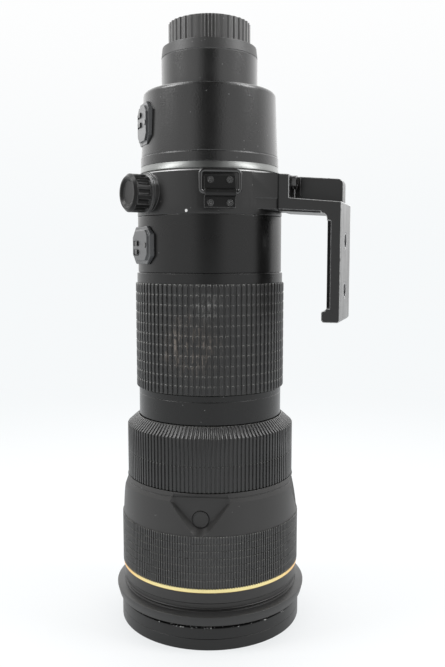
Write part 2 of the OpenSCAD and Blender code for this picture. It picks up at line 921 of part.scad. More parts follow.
// Sloping slot cut through the cam tube for one follower pin
module cam_slot(pin_angle, pin_z, travel) {
    slope = atan(abs(travel) / (cam_out_r * PI * zoom_turn / 180));
    tall = 2 * (pin_r + slot_gap) / cos(slope);
    rise_per_degree = travel / zoom_turn;
    overrun = (pin_r + slot_gap) / abs(rise_per_degree) + cam_spare_angle;
    span = zoom_turn + 2 * overrun;
    low_z = pin_z - overrun * rise_per_degree;
    // A thin sector swept along the slope, whose width round the tube gives the slot its height
    wide = tall / abs(rise_per_degree);
    height = abs(travel) + 2 * overrun * abs(rise_per_degree);
    start = travel > 0 ? pin_angle + overrun : pin_angle - zoom_turn - overrun;
    base_z = travel > 0 ? low_z : pin_z + travel - overrun * abs(rise_per_degree);
    turn = travel > 0 ? span : -span;
    for (i = [0 : pin_n - 1])
        translate([0, 0, base_z])
            rotate([0, 0, start + 360 * i / pin_n])
                linear_extrude(height = height, twist = turn, slices = cam_slices, $fn = 12)
                    polygon([
                        [(cam_in_r - over) * cos(wide / 2), -(cam_in_r - over) * sin(wide / 2)],
                        [(cam_out_r + over) * cos(wide / 2), -(cam_out_r + over) * sin(wide / 2)],
                        [cam_out_r + 2 * over, 0],
                        [(cam_out_r + over) * cos(wide / 2), (cam_out_r + over) * sin(wide / 2)],
                        [(cam_in_r - over) * cos(wide / 2), (cam_in_r - over) * sin(wide / 2)],
                        [cam_in_r - over, 0]
                    ]);
}

module zoom_cam_tube() {
    color("#b08d4a")
    difference() {
        union() {
            tube(cam_out_r, cam_in_r, cam_z, cam_h);
            arc_block(land_r - turn_gap, cam_out_r - cam_wall / 2, zoom_key_z, key_h, 0, key_w);
        }
        cam_slot(pin_angles[1], variator_pin_z, variator_travel);
        cam_slot(pin_angles[2], compensator_pin_z, -compensator_travel);
    }
}

module zoom_ring() {
    color("#202122")
    rotate_extrude()
        polygon([
            [land_r + turn_gap, zoom_z],
            [zoom_d / 2 - zoom_rubber, zoom_z],
            [zoom_d / 2 - zoom_rubber, zoom_band_z],
            [zoom_band_d / 2, zoom_band_z],
            [zoom_band_d / 2, zoom_end_z],
            [land_r + turn_gap, zoom_end_z]
        ]);
}

module zoom_grip() {
    color("#1b1c1d")
    difference() {
        translate([0, 0, zoom_z])
            linear_extrude(height = zoom_h)
                polygon(rib_outline(zoom_ribs, zoom_d / 2, rib_depth));
        translate([0, 0, zoom_z - over])
            cylinder(r = zoom_d / 2 - zoom_rubber + turn_gap, h = zoom_h + 2 * over);
    }
}

module variator_cell() {
    color("#2b2d30")
    guided_cell(variator_z, variator_h, variator_glass_r, variator_pin_z, pin_angles[1]);
}

module variator_elements() {
    color("#6f8fa8", 0.5) {
        element(variator_glass_r - turn_gap, variator_z + glass_edge, glass_edge, glass_edge, 0);
        element(variator_glass_r - turn_gap, variator_z + 3 * glass_edge, glass_edge, 0, glass_edge);
    }
}

module compensator_cell() {
    color("#2b2d30")
    guided_cell(compensator_z, compensator_h, compensator_glass_r, compensator_pin_z, pin_angles[2]);
}

module compensator_elements() {
    color("#6f8fa8", 0.5) {
        element(compensator_glass_r - turn_gap, compensator_z + 2 * glass_edge, glass_edge, glass_edge, 0);
        element(compensator_glass_r - turn_gap, compensator_z + 4 * glass_edge,
                glass_edge, 0, glass_edge / 2);
    }
}

// Iris

module iris_housing() {
    color("#1a1b1c")
    tube(guide_r - turn_gap, iris_bore_r, iris_z, iris_plate);
}

// Blades drawn back into their housing, each one a curved strip
module iris_blades() {
    color("#3c3e40")
    for (i = [0 : blade_n - 1])
        arc_block(guide_r - 2 * cell_wall, iris_bore_r + cell_wall, blade_z, blade_t,
                  360 * i / blade_n, 360 / blade_n - blade_gap);
}

module iris_drive() {
    color("#a9abae")
    union() {
        tube(guide_r - free_gap, iris_bore_r + cell_wall, iris_ring_z, iris_ring_h);
        rotate([0, 0, arm_angle]) {
            translate([arm_r - arm_t, -arm_w / 2, iris_ring_z])
                cube([arm_t, arm_w, crank_z - iris_ring_z]);
            translate([arm_top_r - arm_t, -arm_w / 2, crank_z - arm_t])
                cube([arm_r - arm_top_r + arm_t, arm_w, arm_t]);
            translate([arm_top_r - arm_t, -arm_w / 2, crank_z - arm_t])
                cube([arm_t, arm_w, mount_z + arm_t - crank_z]);
        }
    }
}

// Stabiliser

// Sector that leaves room for the aperture arm's swing
module arm_sector(z, h) {
    arc_block(rear_bore_r + over, rear_cell_r + turn_gap, z - over, h + 2 * over,
              arm_angle + aperture_turn / 2, aperture_turn + 2 * arm_clear);
}

module shake_housing() {
    color("#1a1b1c")
    difference() {
        union() {
            tube(shake_r, shake_r - shake_wall, shake_z, shake_h);
            tube(shake_r, shake_hole_r, shake_z, shake_floor);
            tube(rear_bore_r - turn_gap, shake_r - shake_wall, shake_z + shake_h, shake_wall);
        }
        arc_block(rear_bore_r + over, shake_r + turn_gap, shake_z + shake_h - over, shake_wall + 2 * over,
                  arm_angle + aperture_turn / 2, aperture_turn + 2 * arm_clear);
    }
}

module shake_carrier() {
    color("#8a8c8f")
    tube(carrier_r, carrier_hole_r, carrier_z, carrier_t);
}

module shake_cell() {
    color("#2b2d30")
    union() {
        tube(shake_tube_r, shake_tube_r - cell_wall, carrier_z, 2 * carrier_t);
        tube(carrier_r - shake_shift, shake_tube_r - cell_wall,
             carrier_z + carrier_t + free_gap, shake_flange_t);
    }
}

module shake_elements() {
    color("#6f8fa8", 0.5)
    element(shake_tube_r - cell_wall - turn_gap, carrier_z + glass_edge,
            glass_edge, glass_edge / 2, glass_edge / 2);
}

// Relay group, ahead of the drop-in filter and behind it
module relay_cell() {
    color("#2b2d30") {
        union() {
            tube(relay_r, relay_r - cell_wall, relay_z, relay_h);
            tube(shake_r - shake_wall - turn_gap, relay_r - cell_wall, relay_z, shake_wall);
        }
        difference() {
            union() {
                tube(rear_cell_r, rear_cell_r - cell_wall, rear_cell_z, rear_cell_end_z - rear_cell_z);
                tube(rear_bore_r - turn_gap, rear_cell_r - cell_wall,
                     wall_top_z - guide_flange_h, guide_flange_h);
            }
            arm_sector(wall_top_z - guide_flange_h, guide_flange_h);
        }
    }
}

module relay_elements() {
    color("#6f8fa8", 0.5) {
        element(relay_r - cell_wall - turn_gap, relay_z + glass_edge, glass_edge, glass_edge / 2, 0);
        element(relay_r - cell_wall - turn_gap, relay_z + 3 * glass_edge, glass_edge, 0, glass_edge / 2);
        element(rear_cell_r - cell_wall - turn_gap, rear_cell_z + glass_edge, glass_edge, glass_edge / 2, 0);
        element(rear_cell_r - cell_wall - turn_gap, rear_cell_end_z - 2 * glass_edge,
                glass_edge, 0, glass_edge / 2);
    }
}

// Rear barrel, mount and cap

module drawer_outline(extra) {
    circle(r = drawer_r + extra);
    translate([-drawer_r - extra, 0])
        square([2 * (drawer_r + extra), rear_r + 2 * over]);
}

function shoulder_arc() = [
    for (k = [0 : arc_steps])
        let (a = (90 - shoulder_slope) * k / arc_steps)
        [rear_end_r - shoulder_r * (1 - cos(a)), shoulder_z + shoulder_r * sin(a)]
];

module rear_barrel() {
    color("#2a2b2c")
    difference() {
        rotate_extrude()
            polygon(concat([
                [rear_bore_r, collar_seat_z - spigot_h / 4],
                [middle_bore_r - turn_gap, collar_seat_z - spigot_h / 4],
                [middle_bore_r - turn_gap, collar_seat_z],
                [race_r, collar_seat_z],
                [race_r, rear_z],
                [rear_r + rear_step, rear_z],
                [rear_r + rear_step, rear_line_z - rear_step],
                [rear_r, rear_line_z],
                [rear_r - line_cut / 2, rear_line_z + line_cut / 2],
                [rear_r, rear_line_z + line_cut]
            ], shoulder_arc(), [
                [housing_d / 2, housing_z],
                [rear_hole_r, housing_z],
                [rear_hole_r, wall_top_z],
                [rear_bore_r, wall_top_z]
            ]));
        translate([0, 0, drawer_z - free_gap])
            linear_extrude(height = drawer_h + 2 * free_gap)
                translate([-drawer_r - free_gap, 0])
                    square([2 * (drawer_r + free_gap), rear_r + 2 * over]);
    }
}

module silver_bevel_ring() {
    color("#b9bcc0")
    rotate_extrude()
        polygon([
            [race_r + turn_gap, bevel_z],
            [collar_rear_d / 2 - bevel_undercut, bevel_z],
            [collar_rear_d / 2 - bevel_undercut, bevel_z + line_cut],
            [collar_rear_d / 2 - line_cut, bevel_z + line_cut],
            [rear_r + rear_step, rear_z - line_cut],
            [rear_r + rear_step, rear_z],
            [race_r + turn_gap, rear_z]
        ]);
}

module mount_housing() {
    color("#2a2b2c")
    rotate_extrude()
        polygon([
            [housing_d / 2 - housing_wall, housing_z],
            [housing_d / 2, housing_z],
            [housing_d / 2, housing_line_z - line_cut / 2],
            [housing_d / 2 - line_cut, housing_line_z],
            [housing_d / 2, housing_line_z + line_cut / 2],
            [housing_end_d / 2, mount_z - line_cut],
            [housing_end_d / 2 - line_cut / 2, mount_z - line_cut / 2],
            [flange_d / 2 + turn_gap, mount_z - line_cut / 2],
            [flange_d / 2 + turn_gap, flange_z],
            [throat_r + turn_gap, flange_z],
            [throat_r + turn_gap, flange_z - flange_h],
            [housing_d / 2 - housing_wall, flange_z - flange_h - housing_wall]
        ]);
}

module bayonet_mount() {
    color("#c8cacd")
    difference() {
        union() {
            tube(flange_d / 2, throat_r - throat_wall, flange_z, flange_h);
            tube(throat_r, throat_r - throat_wall, flange_z - flange_h, flange_h);
            tube(throat_r, throat_r - throat_wall, mount_z, throat_h);
            for (i = [0 : lug_n - 1])
                arc_block(lug_d / 2, throat_r - throat_wall / 2, mount_z + throat_h - lug_h, lug_h,
                          lug_angle + 360 * i / lug_n, lug_sweep_angle);
        }
        for (i = [0 : mount_screw_n - 1])
            rotate([0, 0, 360 * i / mount_screw_n])
                translate([mount_screw_ring, 0, flange_z - over])
                    cylinder(r = mount_screw_r + turn_gap, h = flange_h + 2 * over);
    }
}

module contact_block() {
    color("#0e0e0f")
    union() {
        arc_block(contact_r, contact_r - contact_t, flange_z, contact_end_z - flange_z,
                  contact_angle, contact_sweep_angle);
        for (i = [0 : contact_n - 1])
            rotate([0, 0, contact_angle + contact_sweep_angle * ((i + 0.5) / contact_n - 0.5)])
                translate([contact_r - contact_t / 2, 0, contact_end_z - over])
                    cylinder(r = contact_t / 3, h = over + line_cut);
    }
}

module rear_cap() {
    color("#151617")
    difference() {
        translate([0, 0, mount_z + turn_gap])
            linear_extrude(height = cap_h - turn_gap)
                polygon(rib_outline(cap_ribs, cap_d / 2, cap_rib_depth));
        translate([0, 0, mount_z - over])
            cylinder(r = lug_d / 2 + 2 * turn_gap, h = cap_h - cap_top + over);
        tube(cap_d, cap_d / 2 - cap_wall, mount_z + cap_h - cap_rib_depth, 2 * cap_rib_depth);
    }
    color("#151617")
    for (i = [0 : lug_n - 1])
        arc_block(lug_d / 2 + 3 * turn_gap, throat_r + free_gap, mount_z + lug_h, lug_h,
                  lug_angle + 180 / lug_n + 360 * i / lug_n, lug_sweep_angle);
}

// Screws of the mount's flange and of the switch panels
module body_screws() {
    color("#8f9194") {
        for (i = [0 : mount_screw_n - 1])
            rotate([0, 0, 360 * i / mount_screw_n])
                translate([mount_screw_ring, 0, flange_z])
                    cylinder(r = mount_screw_r, h = flange_h);
    }
    color("#2c2d2e") {
        upright(upper_angle, upper_face)
            translate([upper_screw_x, upper_z])
                cylinder(r = panel_screw_r, h = panel_screw_h);
        upright(lower_angle, lower_face)
            translate([lower_screw_x, lower_z])
                cylinder(r = panel_screw_r, h = panel_screw_h);
    }
}

module circuit_board() {
    color("#2d5a3a")
    arc_block(rear_bore_r - turn_gap, rear_bore_r - board_t, rear_z + board_t,
              wall_top_z - rear_z - 3 * board_t, board_angle, board_sweep_angle);
}

// Switch panels

// Raised base with a lifted face plate, its back cut to the barrel, and its switch slots
module switch_panel(angle, face, w, h, mid_z, barrel_r, fall, slot_x, slots_z, lift) {
    difference() {
        union() {
            upright(angle, barrel_r - 3 * lift)
                translate([0, mid_z])
                    linear_extrude(height = face - barrel_r + 2 * lift)
                        polygon(cut_outline(w, h, panel_cut));
            upright(angle, face - lift - over)
                translate([0, mid_z])
                    linear_extrude(height = lift + over)
                        polygon(cut_outline(w - 2 * panel_rim, h - 2 * panel_rim,
                                            panel_cut - panel_rim / 2));
        }
        // The barrel narrows by fall for each millimetre of height
        translate([0, 0, mid_z - h])
            cylinder(r1 = barrel_r + turn_gap + h * fall, r2 = barrel_r + turn_gap - h * fall, h = 2 * h);
        for (slot_z = slots_z)
            upright(angle, face - slot_deep)
                translate([slot_x - slot_w / 2, mid_z + slot_z - slot_h / 2])
                    cube([slot_w, slot_h, 2 * slot_deep]);
    }
}

module upper_switch_panel() {
    color("#5b5d5f")
    switch_panel(upper_angle, upper_face, upper_w, upper_h, upper_z, upper_seat_r, rear_fall,
                 upper_slot_x, upper_slots_z, panel_lift);
}

module lower_switch_panel() {
    color("#45474a")
    switch_panel(lower_angle, lower_face, lower_w, lower_h, lower_z, saddle_d / 2, 0,
                 lower_slot_x, lower_slots_z, panel_lift);
}

// Slider at the end of its slot that lies nearer the screw
module slider(angle, face, x, z) {
    color("#0f1011")
    upright(angle, face - slot_deep + turn_gap)
        translate([x + switch_travel / 2 - switch_w / 2, z - switch_h / 2])
            cube([switch_w, switch_h, slot_deep + switch_proud]);
}

module focus_mode_switch() {
    slider(upper_angle, upper_face, upper_slot_x, upper_z + upper_slots_z[0]);
}

module focus_limit_switch() {
    slider(upper_angle, upper_face, upper_slot_x, upper_z + upper_slots_z[1]);
}

module shake_switch() {
    slider(lower_angle, lower_face, lower_slot_x, lower_z + lower_slots_z[0]);
}

module shake_mode_switch() {
    slider(lower_angle, lower_face, lower_slot_x, lower_z + lower_slots_z[1]);
}

// Collar, foot, brackets and knob

// Flat of the foot's joint, run back to the collar on both sides
module boss_outline(inset) {
    blend_r = collar_rear_d / 2 - line_cut;
    polygon([
        [race_r - over, -foot_w / 2 + inset],
        [blend_r * cos(boss_blend_angle), -blend_r * sin(boss_blend_angle) + inset / 2],
        [foot_joint, -foot_w / 2 + inset],
        [foot_joint, foot_w / 2 - inset],
        [blend_r * cos(boss_blend_angle), blend_r * sin(boss_blend_angle) - inset / 2],
        [race_r - over, foot_w / 2 - inset]
    ]);
}

module collar_bosses() {
    for (low = [[boss_step, boss_z], [0, boss_z + boss_step_h]])
        translate([0, 0, low[1]])
            linear_extrude(height = boss_z + boss_h - low[1])
                boss_outline(low[0]);
    outward(knob_angle, race_r, collar_mid_z)
        cylinder(r = knob_pad_r, h = knob_pad - race_r);
    outward(knob_angle, knob_pad - line_cut, collar_mid_z)
        cylinder(r = washer_r, h = line_cut + washer_h);
    outward(knob_angle, knob_pad, collar_mid_z)
        cylinder(r = washer_r - line_cut, h = 2 * washer_h);
    for (side = [-1, 1])
        upright(side * strap_angle, race_r)
            translate([-strap_w / 2 + free_gap, strap_z - strap_h / 2 + free_gap])
                cube([strap_w - 2 * free_gap, strap_h - 2 * free_gap, strap_pad - race_r]);
}

// Places the four screws of one strap plate
module strap_screw_places(side) {
    for (x = [-strap_screw_x, strap_screw_x])
        for (z = [-strap_screw_z, strap_screw_z])
            upright(side * strap_angle, strap_pad)
                translate([x, strap_z + z, 0])
                    children();
}

module foot_screw_places(distance) {
    for (y = [-foot_screw_y, foot_screw_y])
        translate([distance, y, boss_z + foot_screw_rise])
            rotate([0, 90, 0])
                children();
}

module tripod_collar() {
    color("#262728")
    difference() {
        union() {
            rotate_extrude()
                polygon([
                    [race_r + turn_gap, collar_z],
                    [collar_d / 2, collar_z],
                    [collar_d / 2 + line_cut / 2, collar_z + collar_lip_h],
                    [collar_rear_d / 2 + line_cut, collar_end_z - collar_lip_h],
                    [collar_rear_d / 2 + line_cut, collar_end_z - 2 * line_cut],
                    [collar_rear_d / 2 - line_cut, collar_end_z],
                    [race_r + turn_gap, collar_end_z]
                ]);
            collar_bosses();
        }
        translate([0, 0, collar_z - over])
            cylinder(r = race_r + turn_gap, h = collar_h + 2 * over);
        outward(knob_angle, race_r - over, collar_mid_z)
            cylinder(r = knob_shaft_r + turn_gap, h = knob_base - race_r + 2 * over);
        for (side = [-1, 1])
            strap_screw_places(side)
                translate([0, 0, -strap_head_r])
                    cylinder(r = strap_thread_r + turn_gap, h = strap_head_r + over);
        foot_screw_places(foot_thread_end)
            cylinder(r = foot_thread_r + turn_gap, h = foot_joint - foot_thread_end + over);
    }
}

// Height of the arm's falling lines at a distance from the axis
function foot_line(start_z, fall, x) = start_z - fall * (x - foot_joint) / (foot_reach - foot_joint);

// Round corner between a falling line and an upright face at face_x
function foot_round(start_z, fall, face_x, r) =
    let (slope = atan(fall / (foot_reach - foot_joint)),
         mid_x = face_x - r,
         mid_z = foot_line(start_z, fall, mid_x) - r / cos(slope))
    [for (k = [0 : arc_steps])
        let (a = (90 - slope) * (1 - k / arc_steps))
        [mid_x + r * cos(a), mid_z + r * sin(a)]];

module foot_profile() {
    underside = foot_round(foot_low_z, foot_under_fall, foot_inner, foot_corner);
    polygon(concat([[foot_joint, foot_low_z]], underside, [
        [foot_inner, foot_end_z + foot_toe_h + foot_edge],
        [foot_inner - foot_edge, foot_end_z + foot_toe_h],
        [foot_inner - foot_toe + foot_edge / 2, foot_end_z + foot_toe_h],
        [foot_inner - foot_toe, foot_end_z + foot_toe_h - foot_edge / 2],
        [foot_inner - foot_toe, foot_end_z + foot_edge],
        [foot_inner - foot_toe + foot_edge, foot_end_z],
        [foot_reach - foot_edge, foot_end_z],
        [foot_reach, foot_end_z + foot_edge],
        [foot_reach, foot_line(foot_low_z + foot_shelf, foot_shelf_fall, foot_reach)],
        [foot_joint, foot_low_z + foot_shelf]
    ]));
}

// Upright wall along the middle of the arm, from start_x out to the plate
module foot_wall(start_x, w) {
    end_x = foot_reach - foot_edge;
    low_z = foot_low_z + foot_shelf - over;
    rotate([90, 0, 0])
        translate([0, 0, -w / 2])
            linear_extrude(height = w)
                polygon(concat([
                    [start_x, foot_line(low_z, foot_shelf_fall, start_x)],
                    [start_x, foot_line(foot_top_z, foot_fall, start_x)]
                ], foot_round(foot_top_z, foot_fall, end_x, foot_corner), [
                    [end_x, foot_line(low_z, foot_shelf_fall, end_x)]
                ]));
}

module tripod_foot() {
    slope = atan(foot_under_fall / (foot_reach - foot_joint));
    block_x = foot_joint + foot_block;
    post_z = foot_end_z + foot_toe_h + foot_edge + free_gap;
    post_top_z = foot_low_z - foot_under_fall - foot_corner - free_gap;
    color("#2f3133")
    difference() {
        union() {
            rotate([90, 0, 0])
                translate([0, 0, -foot_w / 2])
                    linear_extrude(height = foot_w)
                        foot_profile();
            rotate([90, 0, 0])
                translate([0, 0, -foot_w / 2])
                    linear_extrude(height = foot_w)
                        polygon([
                            [foot_joint, foot_low_z + foot_shelf - over],
                            [block_x, foot_line(foot_low_z + foot_shelf, foot_shelf_fall, block_x) - over],
                            [block_x, foot_line(foot_top_z, foot_fall, block_x)],
                            [foot_joint, foot_top_z]
                        ]);
            foot_wall(block_x - over, foot_web - 2 * foot_edge);
            foot_wall(block_x + foot_pocket, foot_web);
        }
        // Bevels along the inner edges of the arm and the plate
        for (side = [-1, 1]) {
            translate([foot_joint, side * foot_w / 2, foot_low_z])
                rotate([0, slope, 0])
                    rotate([45, 0, 0])
                        translate([-over, -foot_edge / sqrt(2), -foot_edge / sqrt(2)])
                            cube([foot_inner - foot_corner - foot_joint + over - free_gap,
                                  foot_edge * sqrt(2), foot_edge * sqrt(2)]);
            translate([foot_inner, side * foot_w / 2, post_z])
                rotate([0, 0, 45])
                    translate([-foot_bevel / sqrt(2), -foot_bevel / sqrt(2), 0])
                        cube([foot_bevel * sqrt(2), foot_bevel * sqrt(2), post_top_z - post_z]);
        }
        for (side = [-1, 1])
            translate([foot_inner - foot_corner, 0, foot_hole_mid_z + side * foot_hole_pitch / 2])
                rotate([0, 90, 0]) {
                    cylinder(r = foot_hole_r, h = foot_plate + 2 * foot_corner);
                    translate([0, 0, foot_corner + foot_plate - foot_hole_bevel])
                        cylinder(r1 = foot_hole_r, r2 = foot_hole_r + 2 * foot_hole_bevel,
                                 h = 2 * foot_hole_bevel);
                }
        foot_screw_places(foot_joint - over)
            cylinder(r = foot_thread_r + 4 * turn_gap, h = foot_block + 2 * over);
    }
}

module strap_plates() {
    color("#232425")
    for (side = [-1, 1])
        difference() {
            union() {
                upright(side * strap_angle, strap_pad)
                    translate([-strap_w / 2, strap_z - strap_h / 2])
                        cube([strap_w, strap_h, strap_plate_t]);
                rotate([0, 0, side * strap_angle])
                    translate([loop_axis, -strap_w / 2, strap_knuckle_z])
                        rotate([-90, 0, 0])
                            cylinder(r = knuckle_r, h = strap_w);
            }
            rotate([0, 0, side * strap_angle])
                translate([0, -strap_w, strap_z - strap_h])
                    cube([strap_pad, 2 * strap_w, 2 * strap_h]);
            rotate([0, 0, side * strap_angle])
                translate([loop_axis, -strap_w / 2 - over, strap_knuckle_z])
                    rotate([-90, 0, 0])
                        cylinder(r = loop_r + turn_gap, h = strap_w + 2 * over);
            strap_screw_places(side)
                translate([0, 0, -over])
                    cylinder(r = strap_thread_r + 2 * turn_gap, h = strap_plate_t + 2 * over);
        }
}

module collar_screws() {
    color("#3a3b3d") {
        for (side = [-1, 1])
            strap_screw_places(side) {
                translate([0, 0, -strap_head_r + line_cut])
                    cylinder(r = strap_thread_r, h = strap_head_r + strap_plate_t - line_cut);
                difference() {
                    translate([0, 0, strap_plate_t])
                        cylinder(r = strap_head_r, h = strap_head_h);
                    for (turn = [0, 90])
                        rotate([0, 0, strap_cross_angle + turn])
                            translate([-strap_cross_l / 2, -strap_cross_w / 2,
                                       strap_plate_t + strap_head_h - strap_cross_h])
                                cube([strap_cross_l, strap_cross_w, strap_head_h]);
                }
            }
        foot_screw_places(foot_thread_end + line_cut)
            cylinder(r = foot_thread_r, h = foot_joint + foot_block - foot_thread_end - line_cut);
        foot_screw_places(foot_joint + foot_block)
            difference() {
                cylinder(r = foot_head_r, h = foot_head_h);
                translate([0, 0, foot_head_h / 2])
                    cylinder(r = foot_hex_r, h = foot_head_h, $fn = 6);
            }
    }
}

// Round wire corner of a strap loop: a quarter of a ring in the X-Y plane
module wire_corner() {
    rotate_extrude(angle = 90)
        translate([loop_corner, 0])
            circle(r = loop_r, $fn = 32);
}

module strap_loop(side) {
    half = loop_w / 2 - loop_r;
    color("#3a3c3e")
    upright(side * strap_angle, loop_axis)
        translate([0, strap_knuckle_z]) {
            translate([-half + loop_corner, 0])
                rotate([0, 90, 0])
                    cylinder(r = loop_r, h = 2 * (half - loop_corner));
            translate([-half + loop_corner, loop_rise])
                rotate([0, 90, 0])
                    cylinder(r = loop_r, h = 2 * (half - loop_corner));
            for (x = [-half, half])
                translate([x, loop_corner])
                    rotate([-90, 0, 0])
                        cylinder(r = loop_r, h = loop_rise - 2 * loop_corner);
            translate([half - loop_corner, loop_rise - loop_corner])
                wire_corner();
            translate([-half + loop_corner, loop_rise - loop_corner])
                rotate([0, 0, 90])
                    wire_corner();
            translate([-half + loop_corner, loop_corner])
                rotate([0, 0, 180])
                    wire_corner();
            translate([half - loop_corner, loop_corner])
                rotate([0, 0, 270])
                    wire_corner();
        }
}

module strap_loop_near() {
    strap_loop(-1);
}

module strap_loop_far() {
    strap_loop(1);
}

module collar_knob() {
    color("#232425")
    outward(knob_angle, 0, collar_mid_z)
        union() {
            translate([0, 0, race_r + line_cut])
                cylinder(r = knob_shaft_r, h = knob_base - race_r);
            translate([0, 0, knob_base])
                difference() {
                    rotate_extrude()
                        polygon([
                            [0, 0],
                            [knob_d / 2, 0],
                            [knob_d / 2, knob_h - knob_bevel],
                            [knob_d / 2 - knob_bevel, knob_h],
                            [knob_dish_r, knob_h],
                            [knob_floor_r, knob_h - knob_dish],
                            [0, knob_h - knob_dish]
                        ]);
                    for (i = [0 : knob_lobes - 1])
                        rotate([0, 0, 360 * i / knob_lobes])
                            translate([knob_d / 2 + knob_hollow_r / 2, 0, washer_h])
                                cylinder(r = knob_hollow_r, h = knob_h - washer_h - knob_rim_h);
                }
        }
}

// One function button, standing a little proud of its pocket's floor
module function_button(i) {
    color("#202122")
    outward(button_angle + 360 * (i - 1) / button_n, pocket_floor + button_proud - button_t, button_z)
        difference() {
            cylinder(d = button_d, h = button_t);
            translate([0, 0, button_t - button_dish / 2])
                cylinder(d = button_d - 2 * button_dish, h = button_dish);
        }
}

module function_button_1() {
    function_button(1);
}

module function_button_2() {
    function_button(2);
}

module function_button_3() {
    function_button(3);
}

module function_button_4() {
    function_button(4);
}

// Drop-in filter

module filter_drawer() {
    color("#232425")
    difference() {
        intersection() {
            translate([0, 0, drawer_z])
                linear_extrude(height = drawer_h)
                    drawer_outline(0);
            translate([0, 0, drawer_z - over])
                cylinder(r = rear_r + cover_proud, h = drawer_h + 2 * over);
        }
        translate([0, 0, drawer_z - over])
            cylinder(r = filter_r - cell_wall, h = drawer_h + 2 * over);
        translate([0, 0, drawer_z + retainer_h])
            cylinder(r = filter_r + turn_gap, h = drawer_h);
        outward(90, rear_r + cover_proud - lock_shaft_h, drawer_mid_z)
            cylinder(r = lock_shaft_r + turn_gap, h = lock_shaft_h + over);
    }
}

module drop_in_filter() {
    color("#3a3c3e")
    tube(filter_r, filter_r - cell_wall, drawer_z + retainer_h, drawer_h / 2);
    color("#7f97a8", 0.5)
    translate([0, 0, drawer_z + retainer_h + glass_edge / 2])
        cylinder(r = filter_r - cell_wall - turn_gap, h = glass_edge);
}

module filter_lock_knob() {
    color("#2c2d2e")
    outward(90, rear_r + cover_proud - lock_shaft_h + line_cut, drawer_mid_z)
        union() {
            cylinder(r = lock_shaft_r, h = lock_shaft_h);
            translate([0, 0, lock_shaft_h])
                intersection() {
                    cylinder(r = lock_r, h = lock_h);
                    translate([-lock_r, -lock_r / 3, 0])
                        cube([2 * lock_r, 2 * lock_r / 3, lock_h]);
                }
            translate([0, 0, lock_shaft_h])
                cylinder(r = lock_r, h = lock_h / 4);
        }
}

front_rim();
hood_stop();
front_barrel();
gold_ring();
front_grip();
front_cell();
front_elements();
focus_motor();
middle_barrel();
guide_tube();
iris_housing();
iris_blades();
shake_housing();
relay_cell();
relay_elements();
rear_barrel();
silver_bevel_ring();
mount_housing();
bayonet_mount();
contact_block();
upper_switch_panel();
lower_switch_panel();
body_screws();
circuit_board();
focus_ring();
focus_grip();
focus_rotor();
focus_cell();
focus_elements();
zoom_ring();
zoom_grip();
zoom_cam_tube();
variator_cell();
variator_elements();
compensator_cell();
compensator_elements();
iris_drive();
shake_carrier();
shake_cell();
shake_elements();
tripod_collar();
tripod_foot();
strap_plates();
collar_screws();
strap_loop_near();
strap_loop_far();
collar_knob();
function_button_1();
function_button_2();
function_button_3();
function_button_4();
filter_drawer();
drop_in_filter();
filter_lock_knob();
rear_cap();
focus_mode_switch();
focus_limit_switch();
shake_switch();
shake_mode_switch();
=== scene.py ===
import bmesh
import bpy
import json
import math
from mathutils import Matrix, Vector

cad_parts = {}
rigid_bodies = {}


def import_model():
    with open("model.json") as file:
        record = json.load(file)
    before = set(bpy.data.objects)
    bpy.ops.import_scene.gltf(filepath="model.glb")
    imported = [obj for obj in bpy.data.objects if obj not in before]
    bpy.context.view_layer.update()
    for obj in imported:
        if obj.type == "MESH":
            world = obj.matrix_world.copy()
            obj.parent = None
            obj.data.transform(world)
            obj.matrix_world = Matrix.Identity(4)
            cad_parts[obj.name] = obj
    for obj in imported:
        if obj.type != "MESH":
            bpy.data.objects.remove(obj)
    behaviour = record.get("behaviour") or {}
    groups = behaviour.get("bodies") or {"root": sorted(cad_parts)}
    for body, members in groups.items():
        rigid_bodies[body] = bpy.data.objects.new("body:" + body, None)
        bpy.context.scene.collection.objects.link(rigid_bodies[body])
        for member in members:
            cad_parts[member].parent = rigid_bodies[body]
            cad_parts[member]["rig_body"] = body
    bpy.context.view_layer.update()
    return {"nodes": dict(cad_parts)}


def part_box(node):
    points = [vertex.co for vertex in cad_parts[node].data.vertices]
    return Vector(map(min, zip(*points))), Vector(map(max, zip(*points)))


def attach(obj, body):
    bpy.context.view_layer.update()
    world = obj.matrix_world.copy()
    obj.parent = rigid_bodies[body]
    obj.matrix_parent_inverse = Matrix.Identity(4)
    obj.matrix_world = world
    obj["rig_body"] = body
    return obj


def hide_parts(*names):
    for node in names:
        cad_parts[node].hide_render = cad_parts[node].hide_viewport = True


# The looks of a super telephoto zoom lens: its ribbed rubbers, finishes and small marks.
# The lens stands on its front rim, its axis is Z and its tripod foot points along +X.

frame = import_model()

MM = 0.001


# Shader sums and finishes

class Wire:
    """One shader value, so that shader maths reads as plain sums."""

    def __init__(self, finish, socket):
        self.finish = finish
        self.socket = socket

    def maths(self, operation, first, second=0.0):
        return self.finish.node("ShaderNodeMath", {"operation": operation}, {0: first, 1: second})

    def __add__(self, other):
        return self.maths("ADD", self, other)

    def __radd__(self, other):
        return self.maths("ADD", other, self)

    def __sub__(self, other):
        return self.maths("SUBTRACT", self, other)

    def __rsub__(self, other):
        return self.maths("SUBTRACT", other, self)

    def __mul__(self, other):
        return self.maths("MULTIPLY", self, other)

    def __rmul__(self, other):
        return self.maths("MULTIPLY", other, self)

    def __truediv__(self, other):
        return self.maths("DIVIDE", self, other)

    def __rtruediv__(self, other):
        return self.maths("DIVIDE", other, self)

    def __abs__(self):
        return self.maths("ABSOLUTE", self)


